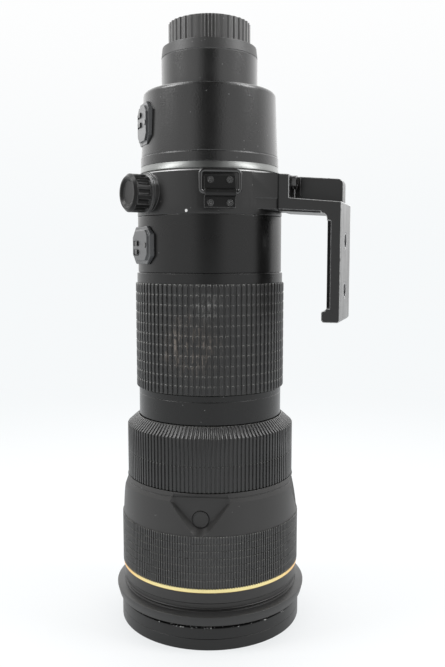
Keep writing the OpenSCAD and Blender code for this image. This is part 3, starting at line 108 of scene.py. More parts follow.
class Finish:
    """A material, or the world, whose nodes are made by one method. Sizes are in metres."""

    def __init__(self, name, owner=None):
        self.material = owner or bpy.data.materials.new(name)
        self.material.use_nodes = True
        self.tree = self.material.node_tree
        self.shader = self.tree.nodes.get("Principled BSDF")

    def node(self, kind, settings, inputs, output=0):
        made = self.tree.nodes.new(kind)
        for key, value in settings.items():
            setattr(made, key, value)
        for key, value in inputs.items():
            self.feed(made.inputs[key], value)
        return Wire(self, made.outputs[output])

    def feed(self, socket, value):
        if isinstance(value, Wire):
            self.tree.links.new(value.socket, socket)
        else:
            socket.default_value = value

    def set(self, **values):
        for key, value in values.items():
            self.feed(self.shader.inputs[key.replace("_", " ")], value)

    def here(self):
        return self.node("ShaderNodeTexCoord", {}, {}, "Object")

    def place(self, stretch=(1, 1, 1)):
        return self.node("ShaderNodeMapping", {}, {"Vector": self.here(), "Scale": stretch})

    def along(self, axis):
        """Position along an axis of the lens."""
        return self.node("ShaderNodeSeparateXYZ", {}, {"Vector": self.place()}, axis)

    def away_from(self, point):
        return self.node("ShaderNodeVectorMath", {"operation": "DISTANCE"},
                         {0: self.here(), 1: point}, "Value")

    def noise(self, size, detail=2.0, stretch=(1, 1, 1)):
        """Cloudy value from 0 to 1 whose blobs are about size across."""
        return self.node("ShaderNodeTexNoise", {}, {
            "Vector": self.place(stretch), "Scale": 1 / size, "Detail": detail})

    def cells(self, size):
        """Distance from the nearest of many points that lie about size apart."""
        return self.node("ShaderNodeTexVoronoi", {}, {
            "Vector": self.place(), "Scale": 1 / size}, "Distance")

    def step(self, value, start, end):
        """0 below start and 1 above end, with a smooth rise between them."""
        return self.node("ShaderNodeMapRange", {"interpolation_type": "SMOOTHSTEP"}, {
            "Value": value, "From Min": start, "From Max": end})

    def most(self, first, second):
        return self.node("ShaderNodeMath", {"operation": "MAXIMUM"}, {0: first, 1: second})

    def blend(self, mask, low, high):
        return self.node("ShaderNodeMix", {"data_type": "RGBA"}, {0: mask, 6: low, 7: high}, 2)

    def agree(self, first, second):
        """1 where two directions are the same, 0 where they are square to each other."""
        return self.node("ShaderNodeVectorMath", {"operation": "DOT_PRODUCT"},
                         {0: first, 1: second}, "Value")

    def flat(self):
        """Facing of the bare surface."""
        return self.node("ShaderNodeNewGeometry", {}, {}, "Normal")

    def facing(self, axis, start, end):
        """1 where the surface faces along an axis of the lens."""
        lean = self.node("ShaderNodeSeparateXYZ", {}, {"Vector": self.flat()}, axis)
        return self.step(lean, start, end)

    def rounded(self, width):
        """Facing with every sharp edge shaded as if it were rounded by width."""
        return self.node("ShaderNodeBevel", {"samples": 8}, {"Radius": width})

    def edges(self, rounded):
        """1 on the edges that the rounded facing turns, fading to 0 beside them."""
        return self.step(self.agree(rounded, self.flat()), 0.995, 0.93)

    def bump(self, height, depth, under=None):
        """Relief of a height pattern, laid over the facing that under gives."""
        over = {"Normal": under} if under else {}
        return self.node("ShaderNodeBump", {}, {"Height": height, "Distance": depth, **over})


def grey(tone, cool=0.0):
    """Neutral colour of a linear tone, a little bluer where cool is above zero."""
    return (tone * (1 - cool), tone, tone * (1 + cool), 1)


CLOUD_DARK, CLOUD_PALE = 0.86, 1.16     # how far a black wanders below and above its tone
PAINT_DUST = grey(0.26)
RUBBER_DUST = (0.20, 0.19, 0.17, 1)
RUBBED_AND_LIT_EDGE = grey(0.24)
# pale edge colour: partly edge wear, partly a painted highlight
POLISHED_SLOPE = grey(0.52)
CHIP = grey(0.70)
# near black painted into the gap at a joint: painted shade
JOINT_SHADE = grey(0.001)


def specks(finish, share, size=3.2 * MM):
    """Mask of small scattered dust specks."""
    spots = finish.cells(size)
    picked = finish.noise(size * 1.7, 0.0)
    return (1 - finish.step(spots, 0.06, 0.10)) * finish.step(picked, 1 - share, 1.02 - share)


def paint(name, tone, rough, gloss, grain, depth, dust, soft=0.35 * MM, rubbed_and_lit=0.0, crease=None,
          polished=0.0, dull_above=None):
    """Satin black paint of a grain and its depth, with dust specks and softened edges.

    The share given for the edges pales them, partly as edge wear and partly as a painted
    highlight; crease is the height of a fine groove, polished brightens the slopes that face up,
    and dull_above is a height from which the paint is dull.
    """
    f = Finish(name)
    cloud = f.noise(18 * MM)
    fine = f.noise(grain, 1.0)
    dots = specks(f, dust)
    base = f.blend(cloud, grey(tone * CLOUD_DARK, -0.03), grey(tone * CLOUD_PALE, -0.02))
    relief = f.rounded(soft)
    # Edges paled towards the edge grey: partly edge wear, partly a painted highlight on edges that catch
    # the light.
    if rubbed_and_lit:
        base = f.blend(rubbed_and_lit * f.edges(relief), base, RUBBED_AND_LIT_EDGE)
    if polished:
        slopes = polished * f.facing("Z", 0.30, 0.55)
        base = f.blend(slopes, base, POLISHED_SLOPE)
        f.set(Metallic=slopes)
    if crease:
        beside = abs(f.along("Z") - crease)
        relief = f.bump(f.step(beside, 0.12 * MM, 0.42 * MM), 0.35 * MM, relief)
    roughness = rough - 0.05 + 0.10 * cloud
    if dull_above:
        roughness = roughness + 0.22 * f.step(f.along("Z"), dull_above - 0.4 * MM, dull_above)
    f.set(Base_Color=f.blend(dots * 0.8, base, PAINT_DUST),
          Roughness=roughness,
          Normal=f.bump(fine, depth, relief),
          Specular_IOR_Level=gloss)
    return f.material


def worn_paint(name, tone, rough, wear, edge, bare, gloss, clamped=None, chips=None, joint=None):
    """Satin black paint whose edges, edge wide, are worn to bare metal over a share called wear,
    the pale bare edges partly standing in as a painted highlight.

    From clamped on along X the whole face is scratched, chips is a point with chipped paint
    round it, and joint is where on X the piece meets its neighbour; that strip is painted
    near black and dull as painted shade in the gap.
    """
    f = Finish(name)
    cloud = f.noise(9 * MM, 3.0)
    fine = f.noise(0.2 * MM, 1.0)
    rounded = f.rounded(edge)
    # Edges worn to paler bare metal: partly real wear, partly a painted highlight on edges that catch the
    # light.
    rubbed_and_lit = f.edges(rounded) * f.step(f.noise(2.4 * MM, 3.0), 1 - wear, 1.25 - wear)
    if clamped:
        scratches = f.step(f.noise(0.9 * MM, 4.0, (1, 1, 0.04)), 0.30, 0.80)
        gripped = f.step(f.along("X"), clamped - 0.6 * MM, clamped - 0.2 * MM)
        rubbed_and_lit = f.most(rubbed_and_lit, gripped * (0.08 + 0.30 * scratches))
    base = f.blend(cloud, grey(tone * 0.8), grey(tone * 1.25))
    if chips:
        near = 1 - f.step(f.away_from(chips), 8 * MM, 22 * MM)
        band = f.step(f.along("Z"), chips[2] - 0.45 * MM, chips[2] - 0.25 * MM)
        few = f.step(f.noise(1.5 * MM, 1.0), 0.66 - 0.16 * near, 0.70)
        base = f.blend(band * few, base, CHIP)
        rubbed_and_lit = rubbed_and_lit * (1 - band)
    roughness = rough - 0.06 + 0.12 * cloud
    # Painted shade: the strip where the piece meets its neighbour is near black and dull, standing in for
    # the shade inside the gap.
    if joint:
        painted_joint_shade = 1 - f.step(f.along("X"), joint + 0.8 * MM, joint + 1.1 * MM)
        base = f.blend(painted_joint_shade, base, JOINT_SHADE)
        rubbed_and_lit = rubbed_and_lit * (1 - painted_joint_shade)
        roughness = roughness + 0.5 * painted_joint_shade
    f.set(Base_Color=f.blend(rubbed_and_lit, base, grey(bare)),
          Metallic=rubbed_and_lit * 0.6,
          Roughness=roughness,
          Normal=f.bump(fine, 0.012 * MM, rounded),
          Specular_IOR_Level=gloss)
    return f.material


def rubber(name, tone, rough, ledge_dust_and_highlight, gloss=0.5, depth=0.03 * MM, shelf=0.25, wear=()):
    """Matte rubber whose ledges that face up more than shelf are paled, partly as dust and partly
    as a painted highlight, and whose edges are paled as a painted highlight.

    wear lists worn patches by their middle, reach, share of streaks and colour.
    """
    f = Finish(name)
    cloud = f.noise(12 * MM, 3.0)
    fine = f.noise(0.3 * MM, 2.0)
    dots = specks(f, 0.36, 3.0 * MM)
    colour = f.blend(cloud, grey(tone * CLOUD_DARK), grey(tone * CLOUD_PALE))
    rounded = f.rounded(0.28 * MM)
    rims = f.edges(rounded)
    ledges = f.facing("Z", shelf, shelf + 0.2) * f.step(f.noise(5 * MM, 2.0), 0.30, 0.55)
    # Painted highlight mixed with dust: up-facing ledges and rib edges are paled towards the ledge
    # colour, standing in for light caught on ledges and edges as well as dust.
    colour = f.blend(f.most(0.75 * ledges, 0.30 * rims), colour, (ledge_dust_and_highlight, ledge_dust_and_highlight, ledge_dust_and_highlight * 0.94, 1))
    for middle, reach, streaky, tint in wear:
        streaks = streaky * f.step(f.noise(1.5 * MM, 3.0, (1, 1, 0.16)), 0.50, 0.66)
        near = 1 - f.step(f.away_from(middle), reach * 0.35, reach)
        patch = near * f.most(streaks, 0.9 * rims) * f.step(f.noise(3 * MM, 2.0), 0.36, 0.52)
        colour = f.blend(patch * 0.85, colour, tint)
    f.set(Base_Color=f.blend(dots * 0.6, colour, RUBBER_DUST),
          Roughness=rough - 0.06 + 0.12 * fine,
          Normal=f.bump(fine, depth, rounded),
          Specular_IOR_Level=gloss)
    return f.material


def metal(name, colour, rough, stretch=(1, 1, 30), grain=0.8 * MM, depth=0.006 * MM, crown=None):
    """Bare metal with fine turning lines; crown is the low and high end of a hollow face and its lean."""
    f = Finish(name)
    lines = f.noise(grain, 2.0, stretch)
    cloud = f.noise(15 * MM)
    dark = tuple(0.82 * c for c in colour) + (1,)
    curve = None
    if crown:
        low, high, lean = crown
        rise = (f.along("Z") - low) / (high - low)
        curve = f.bump(1 - rise * rise, (high - low) / 2 * lean)
    f.set(Base_Color=f.blend(cloud, dark, colour + (1,)),
          Metallic=1.0,
          Roughness=rough - 0.05 + 0.10 * lines,
          Normal=f.bump(lines, depth, curve))
    return f.material


def enamel(name, colour, rough, metallic=0.0, soft=0.3 * MM, aslant=None):
    """Smooth coloured coating, uneven in tone, soft over the edges and of another colour seen aslant."""
    f = Finish(name)
    cloud = f.noise(5 * MM, 2.0)
    low = tuple(0.88 * c for c in colour) + (1,)
    coat = f.blend(cloud, low, colour + (1,))
    if aslant:
        grazing = f.node("ShaderNodeLayerWeight", {}, {"Blend": 0.35}, "Facing")
        coat = f.blend(f.step(grazing, 0.15, 0.75), coat, aslant + (1,))
    f.set(Base_Color=coat,
          Metallic=metallic,
          Roughness=rough - 0.04 + 0.08 * cloud,
          Normal=f.bump(f.noise(0.25 * MM), 0.006 * MM, f.rounded(soft)))
    return f.material


def coated_glass():
    """Optical glass with a faint coloured coating."""
    f = Finish("coated_glass")
    smear = f.noise(14 * MM, 2.0)
    f.set(Base_Color=f.blend(smear, (0.80, 0.93, 0.97, 1), (0.93, 0.97, 1.0, 1)),
          Roughness=0.01 + 0.03 * smear,
          Transmission_Weight=0.94,
          IOR=1.52)
    return f.material


FOOT_JOINT, FOOT_FACE = (corner.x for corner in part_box("tripod_foot"))
BEVEL_LOW, BEVEL_HIGH = (corner.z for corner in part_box("silver_bevel_ring"))
COVER_STEP = 358.6 * MM             # height of the step on the mount housing
BARREL_CREASE = 92.5 * MM           # height of the fine groove under the front barrel's cone
RIM_CHIPS = (5.6 * MM, -58.3 * MM, 13.9 * MM)
PALM_WEAR = ((1.6 * MM, -46 * MM, 183 * MM), 24 * MM, 0.9, (0.165, 0.140, 0.120, 1))
FINGER_WEAR = ((12.1 * MM, -44.4 * MM, 206 * MM), 12 * MM, 0.2, (0.36, 0.36, 0.35, 1))
FINISHES = {
    "rear": paint("rear_barrel_paint", tone=0.005, rough=0.28, gloss=0.76, grain=0.90 * MM,
                  depth=0.070 * MM, dust=0.42, soft=0.45 * MM, rubbed_and_lit=0.22),
    "housing": paint("mount_housing_paint", tone=0.006, rough=0.28, gloss=0.90, grain=0.90 * MM,
                     depth=0.060 * MM, dust=0.42, rubbed_and_lit=0.7, dull_above=COVER_STEP),
    "smooth": paint("smooth_barrel_paint", tone=0.0035, rough=0.28, gloss=0.44, grain=0.30 * MM,
                    depth=0.006 * MM, dust=0.36, rubbed_and_lit=0.3),
    "collar": paint("collar_paint", tone=0.007, rough=0.31, gloss=0.52, grain=0.80 * MM,
                    depth=0.045 * MM, dust=0.42, soft=0.5 * MM, rubbed_and_lit=0.30, polished=0.8),
    "barrel": paint("front_barrel_paint", tone=0.026, rough=0.44, gloss=0.45, grain=0.30 * MM,
                    depth=0.010 * MM, dust=0.36, crease=BARREL_CREASE),
    "plate": paint("bracket_paint", tone=0.003, rough=0.30, gloss=0.35, grain=0.3 * MM,
                   depth=0.02 * MM, dust=0.4, soft=0.4 * MM, rubbed_and_lit=0.6),
    "wire": paint("loop_paint", tone=0.004, rough=0.16, gloss=1.0, grain=0.3 * MM,
                  depth=0.006 * MM, dust=0.3, soft=0.3 * MM, rubbed_and_lit=0.3),
    "plastic": paint("black_plastic", tone=0.009, rough=0.30, gloss=0.6, grain=0.3 * MM,
                     depth=0.02 * MM, dust=0.3),
    "knob": paint("knob_plastic", tone=0.008, rough=0.32, gloss=0.20, grain=0.3 * MM,
                  depth=0.01 * MM, dust=0.5, soft=0.4 * MM, rubbed_and_lit=0.6),
    "button": paint("button_plastic", tone=0.024, rough=0.40, gloss=0.45, grain=0.3 * MM,
                    depth=0.012 * MM, dust=0.2),
    "cap": paint("cap_plastic", tone=0.026, rough=0.32, gloss=1.0, grain=0.3 * MM,
                 depth=0.02 * MM, dust=0.36, soft=0.25 * MM, rubbed_and_lit=0.6),
    "screw": paint("screw_blacking", tone=0.005, rough=0.22, gloss=1.0, grain=0.3 * MM,
                   depth=0.006 * MM, dust=0.2, soft=0.20 * MM, rubbed_and_lit=0.9),
    "stop": worn_paint("hood_stop_paint", tone=0.020, rough=0.42, wear=0.20, edge=0.3 * MM,
                       bare=0.30, gloss=0.5),
    "rim": worn_paint("rim_paint", tone=0.009, rough=0.38, wear=0.34, edge=0.35 * MM,
                      bare=0.45, gloss=0.4, chips=RIM_CHIPS),
    "foot": worn_paint("foot_paint", tone=0.009, rough=0.34, wear=0.78, edge=0.9 * MM,
                       bare=0.66, gloss=0.5, clamped=FOOT_FACE, joint=FOOT_JOINT),
    # Groove floors between the ribs: a darker, duller rubber than the ribs, as painted shade in the
    # grooves.
    "floor": rubber("grip_floor_painted_shade", tone=0.006, rough=0.60, ledge_dust_and_highlight=0.03),
    "rubber": rubber("grip_rubber", tone=0.011, rough=0.30, ledge_dust_and_highlight=0.13, gloss=0.58,
                     depth=0.010 * MM, shelf=0.75),
    "fine_rubber": rubber("front_grip_rubber", tone=0.030, rough=0.36, ledge_dust_and_highlight=0.18, gloss=0.62,
                          depth=0.012 * MM),
    "zoom_rubber": rubber("zoom_grip_rubber", tone=0.018, rough=0.38, ledge_dust_and_highlight=0.13,
                          wear=(PALM_WEAR, FINGER_WEAR)),
    "satin": metal("satin_bevel", (0.20, 0.205, 0.20), rough=0.36, stretch=(1, 1, 1),
                   grain=0.7 * MM, depth=0.02 * MM, crown=(BEVEL_LOW, BEVEL_HIGH, 0.64)),
    "steel": metal("mount_steel", (0.62, 0.62, 0.63), rough=0.28),
    "brass": metal("cam_brass", (0.72, 0.52, 0.22), rough=0.32),
    "gold": enamel("gold_anodising", (0.98, 0.84, 0.40), rough=0.34, metallic=0.5,
                   soft=0.15 * MM, aslant=(0.88, 0.50, 0.15)),
    "dark_panel": enamel("panel_base_paint", (0.065, 0.067, 0.070), rough=0.34, soft=0.6 * MM),
    "winding": enamel("motor_winding", (0.35, 0.16, 0.05), rough=0.30),
    "board": enamel("circuit_board", (0.02, 0.12, 0.05), rough=0.35),
    "blade": enamel("iris_blade", (0.03, 0.03, 0.032), rough=0.45),
    "white": enamel("white_mark", (0.80, 0.80, 0.79), rough=0.5),
    "glass": coated_glass(),
}


# Shaping helpers

TURN_STEPS = 256                    # facets of a full turn
CREASE_ANGLE = 40                   # degrees at which the edge of a new piece stays sharp


def dress(mesh, name, finish, body, stands_for=()):
    """Makes a mesh an object with a finish that rides on a body."""
    piece = bpy.data.objects.new(name, mesh)
    bpy.context.scene.collection.objects.link(piece)
    mesh.materials.clear()
    mesh.materials.append(FINISHES[finish])
    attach(piece, body)
    if stands_for:
        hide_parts(*stands_for)
    return piece


def settle(bm, name, finish, body, stands_for=(), second=None):
    """Dresses a new piece; its faces marked 1 take the second finish."""
    bmesh.ops.recalc_face_normals(bm, faces=bm.faces)
    mesh = bpy.data.meshes.new(name)
    bm.to_mesh(mesh)
    bm.free()
    dress(mesh, name, finish, body, stands_for)
    if second:
        mesh.materials.append(FINISHES[second])


def sharpen(bm, angle):
    """Smooth shading, broken at edges that turn by more than angle degrees."""
    for face in bm.faces:
        face.smooth = True
    for edge in bm.edges:
        edge.smooth = len(edge.link_faces) == 2 and edge.calc_face_angle(0) < math.radians(angle)


def turned(profile, mark=0):
    """A full turn round the lens axis of a closed outline of radius and height pairs, in mm."""
    bm = bmesh.new()
    ring = [bm.verts.new((r * MM, 0, z * MM)) for r, z in profile]
    edges = [bm.edges.new((a, b)) for a, b in zip(ring, ring[1:] + ring[:1])]
    bmesh.ops.spin(bm, geom=ring + edges, cent=(0, 0, 0), axis=(0, 0, 1), angle=math.tau,
                   steps=TURN_STEPS, use_merge=True, use_duplicate=False)
    for face in bm.faces:
        face.material_index = mark
    return bm


def softened(node, finish, width, smooth=16):
    """A CAD piece whose sharp edges are rounded by width mm, smooth over turns below smooth degrees."""
    source = frame["nodes"][node]
    bm = bmesh.new()
    bm.from_mesh(source.data)
    bmesh.ops.remove_doubles(bm, verts=bm.verts, dist=0.002 * MM)
    bmesh.ops.dissolve_limit(bm, angle_limit=math.radians(0.4), use_dissolve_boundaries=False,
                             verts=bm.verts, edges=bm.edges, delimit={"NORMAL"})
    sharpen(bm, smooth)
    mesh = bpy.data.meshes.new(node + "_skin")
    bm.to_mesh(mesh)
    bm.free()
    piece = dress(mesh, node + "_skin", finish, source["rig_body"], [node])
    rounding = piece.modifiers.new("rounding", "BEVEL")
    rounding.width = width * MM
    rounding.segments = 2
    rounding.limit_method = "ANGLE"
    rounding.angle_limit = math.radians(32)
    rounding.harden_normals = True
    rounding.use_clamp_overlap = True


def chamfer(bm, edges, width):
    bmesh.ops.bevel(bm, geom=edges, offset=width * MM, segments=1, profile=0.5,
                    affect="EDGES", material=-1)


def block(bm, size, centre, round_by):
    """Adds a box of a size and centre in mm, X outwards, with every edge taken off by round_by."""
    made = bmesh.ops.create_cube(bm, size=1, matrix=Matrix.Translation(Vector(centre) * MM)
                                 @ Matrix.Diagonal((*(s * MM for s in size), 1)))
    chamfer(bm, list({e for v in made["verts"] for e in v.link_edges}), round_by)


def rib_bar(outline, width, round_by):
    """A rib whose side outline, of radius and height pairs in mm, is drawn out to its width."""
    bm = bmesh.new()
    side = bm.faces.new([bm.verts.new((r * MM, -width / 2 * MM, z * MM)) for r, z in outline])
    grown = bmesh.ops.extrude_face_region(bm, geom=[side])
    moved = [v for v in grown["geom"] if isinstance(v, bmesh.types.BMVert)]
    bmesh.ops.translate(bm, vec=(0, width * MM, 0), verts=moved)
    chamfer(bm, bm.edges[:], round_by)
    return bm


def ring_of(bm, count):
    """Repeats what the mesh holds round the lens axis."""
    bmesh.ops.spin(bm, geom=bm.verts[:] + bm.edges[:] + bm.faces[:], cent=(0, 0, 0), axis=(0, 0, 1),
                   angle=math.tau * (count - 1) / count, steps=count - 1, use_duplicate=True)


def joined(*meshes):
    """One mesh of several, which are used up."""
    whole = bmesh.new()
    for bm in meshes:
        held = bpy.data.meshes.new("held")
        bm.to_mesh(held)
        bm.free()
        whole.from_mesh(held)
        bpy.data.meshes.remove(held)
    return whole


def low_high(node):
    """Lowest and highest height of a CAD piece, and its greatest radius along X, in mm."""
    low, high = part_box(node)
    return low.z / MM, high.z / MM, high.x / MM


# Rubber grips, in mm

def zoom_grip():
    """Wide ribs cut into short pads by cross grooves."""
    low, high, out = low_high("zoom_grip")
    count, rows = 85, 11
    width, depth, gap, inside = 2.1, 0.85, 0.5, 1.5
    floor_r = out - depth
    # groove floor, in the darker rubber that paints shade in the grooves
    sleeve = turned([(out - inside, low), (floor_r, low), (floor_r, high), (out - inside, high)], 1)
    pads = bmesh.new()
    pitch = (high - low) / rows
    web = depth * 0.8               # low rib that runs on under the cross grooves
    block(pads, (web, width - 0.1, high - low), (out - depth * 0.75, 0, (low + high) / 2), 0.12)
    for row in range(rows):
        middle = low + pitch * (row + 0.5)
        block(pads, (depth, width, pitch - gap), (out - depth / 2, 0, middle), 0.30)
    ring_of(pads, count)
    bm = joined(sleeve, pads)
    sharpen(bm, CREASE_ANGLE)
    settle(bm, "zoom_grip_ribs", "zoom_rubber", "zoom_control", ["zoom_grip"], "floor")


def focus_grip():
    """Narrow ribs that run up the straight part and over the slope, with one fine line."""
    low, high, out = low_high("focus_grip")
    count = 129
    width, depth, edge, sunk = 1.6, 0.8, 0.18, 0.2
    slope = low + 32.7              # where the straight part ends
    line = low + 15.9
    half_line = 0.18
    small = 47.3                    # radius at the slope's top end
    floor_r = out - depth
    root = floor_r - sunk
    # groove floor, in the darker rubber that paints shade in the grooves
    sleeve = turned([(out - 2.1, low), (floor_r, low), (floor_r, slope - 0.3),
                     (small - 0.35, high - 0.3), (small - 0.35, high), (small - 1.0, high),
                     (out - 2.1, slope)], 1)
    lower = rib_bar([(root, low), (out, low), (out, line - half_line), (root, line - half_line)],
                    width, edge)
    upper = rib_bar([(root, line + half_line), (out, line + half_line), (out, slope),
                     (small, high - 0.1), (small - 1.2, high - 0.1), (root - 0.2, slope - 0.4)],
                    width, edge)
    bridge = rib_bar([(root, line - 0.4), (out - 0.3, line - 0.4), (out - 0.3, line + 0.4),
                      (root, line + 0.4)], width - 0.3, 0.05)
    ribs = joined(lower, upper, bridge)
    ring_of(ribs, count)
    bm = joined(sleeve, ribs)
    sharpen(bm, CREASE_ANGLE)
    settle(bm, "focus_grip_ribs", "rubber", "focus_control", ["focus_grip"], "floor")


def front_grip():
    """Fine ribs with shallow cross grooves, and small teeth that reach down over the gold ring."""
    low, high, out = low_high("front_grip")
    count, rows = 215, 7
    width, depth, gap, inside, sunk = 0.95, 0.75, 0.30, 2.0, 0.2
    tooth, tooth_tall = 0.24, 1.6
    floor_r = out - depth
    # groove floor, in the darker rubber that paints shade in the grooves
    sleeve = turned([(out - inside, low), (floor_r, low), (floor_r, high), (out - inside, high)], 1)
    pads = bmesh.new()
    pitch = (high - low) / rows
    for row in range(rows):
        middle = low + pitch * (row + 0.5)
        block(pads, (depth + sunk, width, pitch - gap), (out - (depth + sunk) / 2, 0, middle), 0.14)
    block(pads, (tooth, width, tooth_tall), (out - tooth / 2, 0, low - 0.3), 0.10)
    ring_of(pads, count)
    bm = joined(sleeve, pads)
    sharpen(bm, CREASE_ANGLE)
    settle(bm, "front_grip_ribs", "fine_rubber", "barrel", ["front_grip"], "floor")


# Small marks and fittings, in mm

def index_dot():
    """White dot on the collar, under the strap bracket."""
    turn, radius, height = -88.85, 46.2, 262.8
    bm = bmesh.new()
    bmesh.ops.create_cone(bm, cap_ends=True, segments=32, radius1=0.9 * MM, radius2=0.85 * MM,
                          depth=0.12 * MM)
    bmesh.ops.transform(bm, verts=bm.verts, matrix=(
        Matrix.Rotation(math.radians(turn), 4, "Z")
        @ Matrix.Translation((radius * MM, 0, height * MM))
        @ Matrix.Rotation(math.pi / 2, 4, "Y")))
    settle(bm, "collar_index_dot", "white", "collar")


def thread_inserts():
    """Steel sleeves just inside the mouths of the foot's two tripod threads."""
    outer, inner, length, sunk = 4.7, 4.0, 2.4, 0.06
    for name, height in (("front", 215.525), ("rear", 245.525)):
        bm = turned([(inner, 0), (outer, 0), (outer, length), (inner, length)])
        bmesh.ops.transform(bm, verts=bm.verts, matrix=(
            Matrix.Translation((FOOT_FACE - (length + sunk) * MM, 0, height * MM))
            @ Matrix.Rotation(math.pi / 2, 4, "Y")))
        sharpen(bm, CREASE_ANGLE)
        settle(bm, name + "_thread_insert", "steel", frame["nodes"]["tripod_foot"]["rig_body"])


# Studio

PHOTO_TURN = math.radians(17.5)     # from the photograph's view to the lens's own axes
CAMERA_SIDE = 8.207 * MM
CAMERA_BACK = 483.83 * MM
CAMERA_HEIGHT = 235.62 * MM
CAMERA_DIP = math.radians(5.873)
FOCAL_PIXELS = 742.4
PHOTO_TALL = 667
SENSOR = 36.0

PAPER = (0.925, 0.945, 0.955, 1)
WHITE = (1, 1, 1, 1)
GAP_SIDES = (0.14, 0.46)            # where the dim gap fades out, as a share of straight aside
GAP_FRONT = (-0.45, -0.05)          # where it fades out behind the lens
GAP_DIM = 0.95
BACK_SIDES = (-0.75, 0.10)          # where the brighter back wall ends
BACK_FOOT = (0.02, 0.14)            # and where it starts above the table
BACK_GAIN = 0.9
LENS_MIDDLE = Vector((0, 0, 0.19))
SIDE_LIGHT = {"turn": 78, "distance": 0.77, "height": 0.94, "size": (0.35, 0.5), "power": 5}
TOP_LIGHT = {"turn": 108, "distance": 0.45, "height": 1.15, "size": (0.8, 0.25), "power": 1.45}


def camera():
    lens = bpy.data.cameras.new("photo_camera")
    lens.sensor_width = SENSOR
    lens.lens = SENSOR * FOCAL_PIXELS / PHOTO_TALL
    lens.clip_start = 10 * MM
    lens.clip_end = 50
    eye = bpy.data.objects.new("photo_camera", lens)
    turn = Matrix.Rotation(PHOTO_TURN, 4, "Z")
    eye.matrix_world = (turn @ Matrix.Translation((CAMERA_SIDE, -CAMERA_BACK, CAMERA_HEIGHT))
                        @ Matrix.Rotation(math.pi / 2 - CAMERA_DIP, 4, "X"))
    bpy.context.scene.collection.objects.link(eye)
    bpy.context.scene.camera = eye


def towards_camera():
    return Matrix.Rotation(PHOTO_TURN, 3, "Z") @ Vector((0, -1, 0))


def surroundings():
    """Even white light from all round, with a dim gap over the place where the camera stands."""
    world = bpy.data.worlds.new("studio")
    bpy.context.scene.world = world
    f = Finish("studio", world)
    way = f.node("ShaderNodeTexCoord", {}, {}, "Generated")
    towards = towards_camera()
    up = Vector((0, 0, 1))
    front = f.agree(way, tuple(towards))
    height = f.agree(way, tuple(up))
    aside = abs(f.agree(way, tuple(towards.cross(up))))
    gap = (1 - f.step(aside, *GAP_SIDES)) * f.step(front, *GAP_FRONT)
    back = (1 - f.step(front, *BACK_SIDES)) * f.step(height, *BACK_FOOT)
    lit = (1.0 - GAP_DIM * gap) * (1.0 + BACK_GAIN * back)
    shade = f.node("ShaderNodeCombineXYZ", {}, {0: lit, 1: lit, 2: lit})
    seen = f.node("ShaderNodeLightPath", {}, {}, "Is Camera Ray")
    through = f.node("ShaderNodeLightPath", {}, {}, "Is Transmission Ray")
    backdrop = f.blend(f.step(height, -0.02, 0.42), PAPER, WHITE)
    background = f.tree.nodes.get("Background")
    f.feed(background.inputs["Color"], f.blend(f.most(seen, through), shade, backdrop))
    f.feed(background.inputs["Strength"], 1.0)


def floor():
    """Pale table top that fades into the backdrop."""
    bm = bmesh.new()
    bmesh.ops.create_circle(bm, cap_ends=True, segments=96, radius=6.0)
    mesh = bpy.data.meshes.new("studio_floor")
    bm.to_mesh(mesh)
    bm.free()
    piece = bpy.data.objects.new("studio_floor", mesh)
    bpy.context.scene.collection.objects.link(piece)
    f = Finish("floor_paper")
    f.set(Base_Color=(0.80, 0.805, 0.81, 1), Roughness=0.7, Specular_IOR_Level=0.2)
    glow = f.node("ShaderNodeEmission", {}, {"Color": PAPER, "Strength": 1.0})
    share = 0.68 + 0.32 * f.step(f.away_from((0, 0, 0)), 0.10, 0.9)
    mix = f.node("ShaderNodeMixShader", {}, {0: share, 1: Wire(f, f.shader.outputs[0]), 2: glow})
    f.feed(f.tree.nodes.get("Material Output").inputs["Surface"], mix)
    mesh.materials.append(f.material)


def softbox(name, side, turn, distance, height, size, power):
    """Soft light aimed at the lens, turned from the camera's way; side is -1 left and 1 right."""
    lamp = bpy.data.lights.new(name, "AREA")
    lamp.shape = "RECTANGLE"
    lamp.size, lamp.size_y = size
    lamp.energy = power
    piece = bpy.data.objects.new(name, lamp)
    bpy.context.scene.collection.objects.link(piece)
    way = Matrix.Rotation(math.radians(side * turn), 3, "Z") @ towards_camera()
    piece.location = way * distance + Vector((0, 0, height))
    aim = LENS_MIDDLE - piece.location
    piece.rotation_euler = aim.to_track_quat("-Z", "Y").to_euler()


# Finishes of the CAD pieces: PLAIN ones keep their mesh, SOFT ones get edges rounded by a width in mm

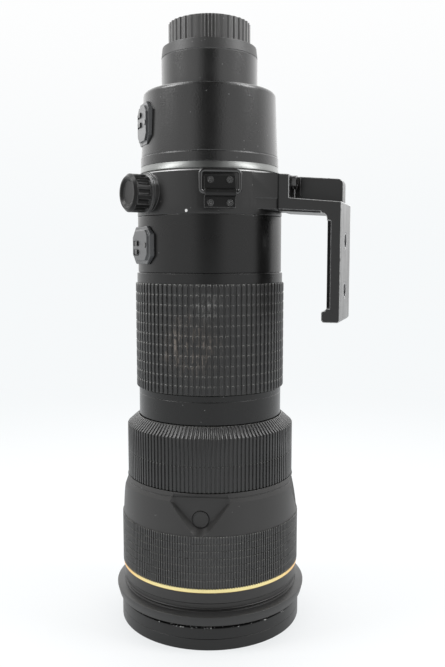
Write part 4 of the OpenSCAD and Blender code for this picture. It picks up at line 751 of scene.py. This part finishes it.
PLAIN = {
    "front_cell": "plastic", "front_elements": "glass", "focus_motor": "winding",
    "guide_tube": "steel", "iris_housing": "plastic", "iris_blades": "blade",
    "shake_housing": "plastic", "relay_cell": "plastic", "relay_elements": "glass",
    "contact_block": "plastic", "circuit_board": "board",
    "focus_rotor": "steel", "focus_cell": "plastic", "focus_elements": "glass",
    "zoom_cam_tube": "brass", "variator_cell": "plastic", "variator_elements": "glass",
    "compensator_cell": "plastic", "compensator_elements": "glass", "iris_drive": "steel",
    "shake_carrier": "steel", "shake_cell": "plastic", "shake_elements": "glass",
    "drop_in_filter": "glass", "strap_loop_near": "wire", "strap_loop_far": "wire",
}
SOFT = {
    "front_rim": ("rim", 0.12), "hood_stop": ("stop", 0.10), "front_barrel": ("barrel", 0.3),
    "gold_ring": ("gold", 0.12), "middle_barrel": ("smooth", 0.15), "rear_barrel": ("rear", 0.12),
    "silver_bevel_ring": ("satin", 0.12), "mount_housing": ("housing", 0.12),
    "bayonet_mount": ("steel", 0.12), "upper_switch_panel": ("dark_panel", 1.0),
    "lower_switch_panel": ("dark_panel", 1.0), "body_screws": ("screw", 0.12),
    "focus_ring": ("smooth", 0.15), "zoom_ring": ("smooth", 0.15),
    "tripod_foot": ("foot", 0.12), "strap_plates": ("plate", 0.08),
    "collar_screws": ("screw", 0.3), "collar_knob": ("knob", 0.12),
    "function_button_1": ("button", 0.3), "function_button_2": ("button", 0.3),
    "function_button_3": ("button", 0.3), "function_button_4": ("button", 0.3),
    "filter_drawer": ("plastic", 0.3), "filter_lock_knob": ("plastic", 0.3),
    "rear_cap": ("cap", 0.3), "focus_mode_switch": ("plastic", 0.2),
    "focus_limit_switch": ("plastic", 0.2), "shake_switch": ("plastic", 0.2),
    "shake_mode_switch": ("plastic", 0.2),
}


def dress_cad():
    for node, finish in PLAIN.items():
        mesh = frame["nodes"][node].data
        mesh.materials.clear()
        mesh.materials.append(FINISHES[finish])
    for node, (finish, width) in SOFT.items():
        softened(node, finish, width)
    softened("tripod_collar", "collar", 0.15, smooth=36)


camera()
surroundings()
floor()
softbox("left_softbox", -1, **SIDE_LIGHT)
softbox("right_softbox", 1, **SIDE_LIGHT)
softbox("left_top_light", -1, **TOP_LIGHT)
softbox("right_top_light", 1, **TOP_LIGHT)
bpy.context.scene.view_settings.view_transform = "Standard"
dress_cad()
zoom_grip()
focus_grip()
front_grip()
index_dot()
thread_inserts()

bpy.context.view_layer.update()
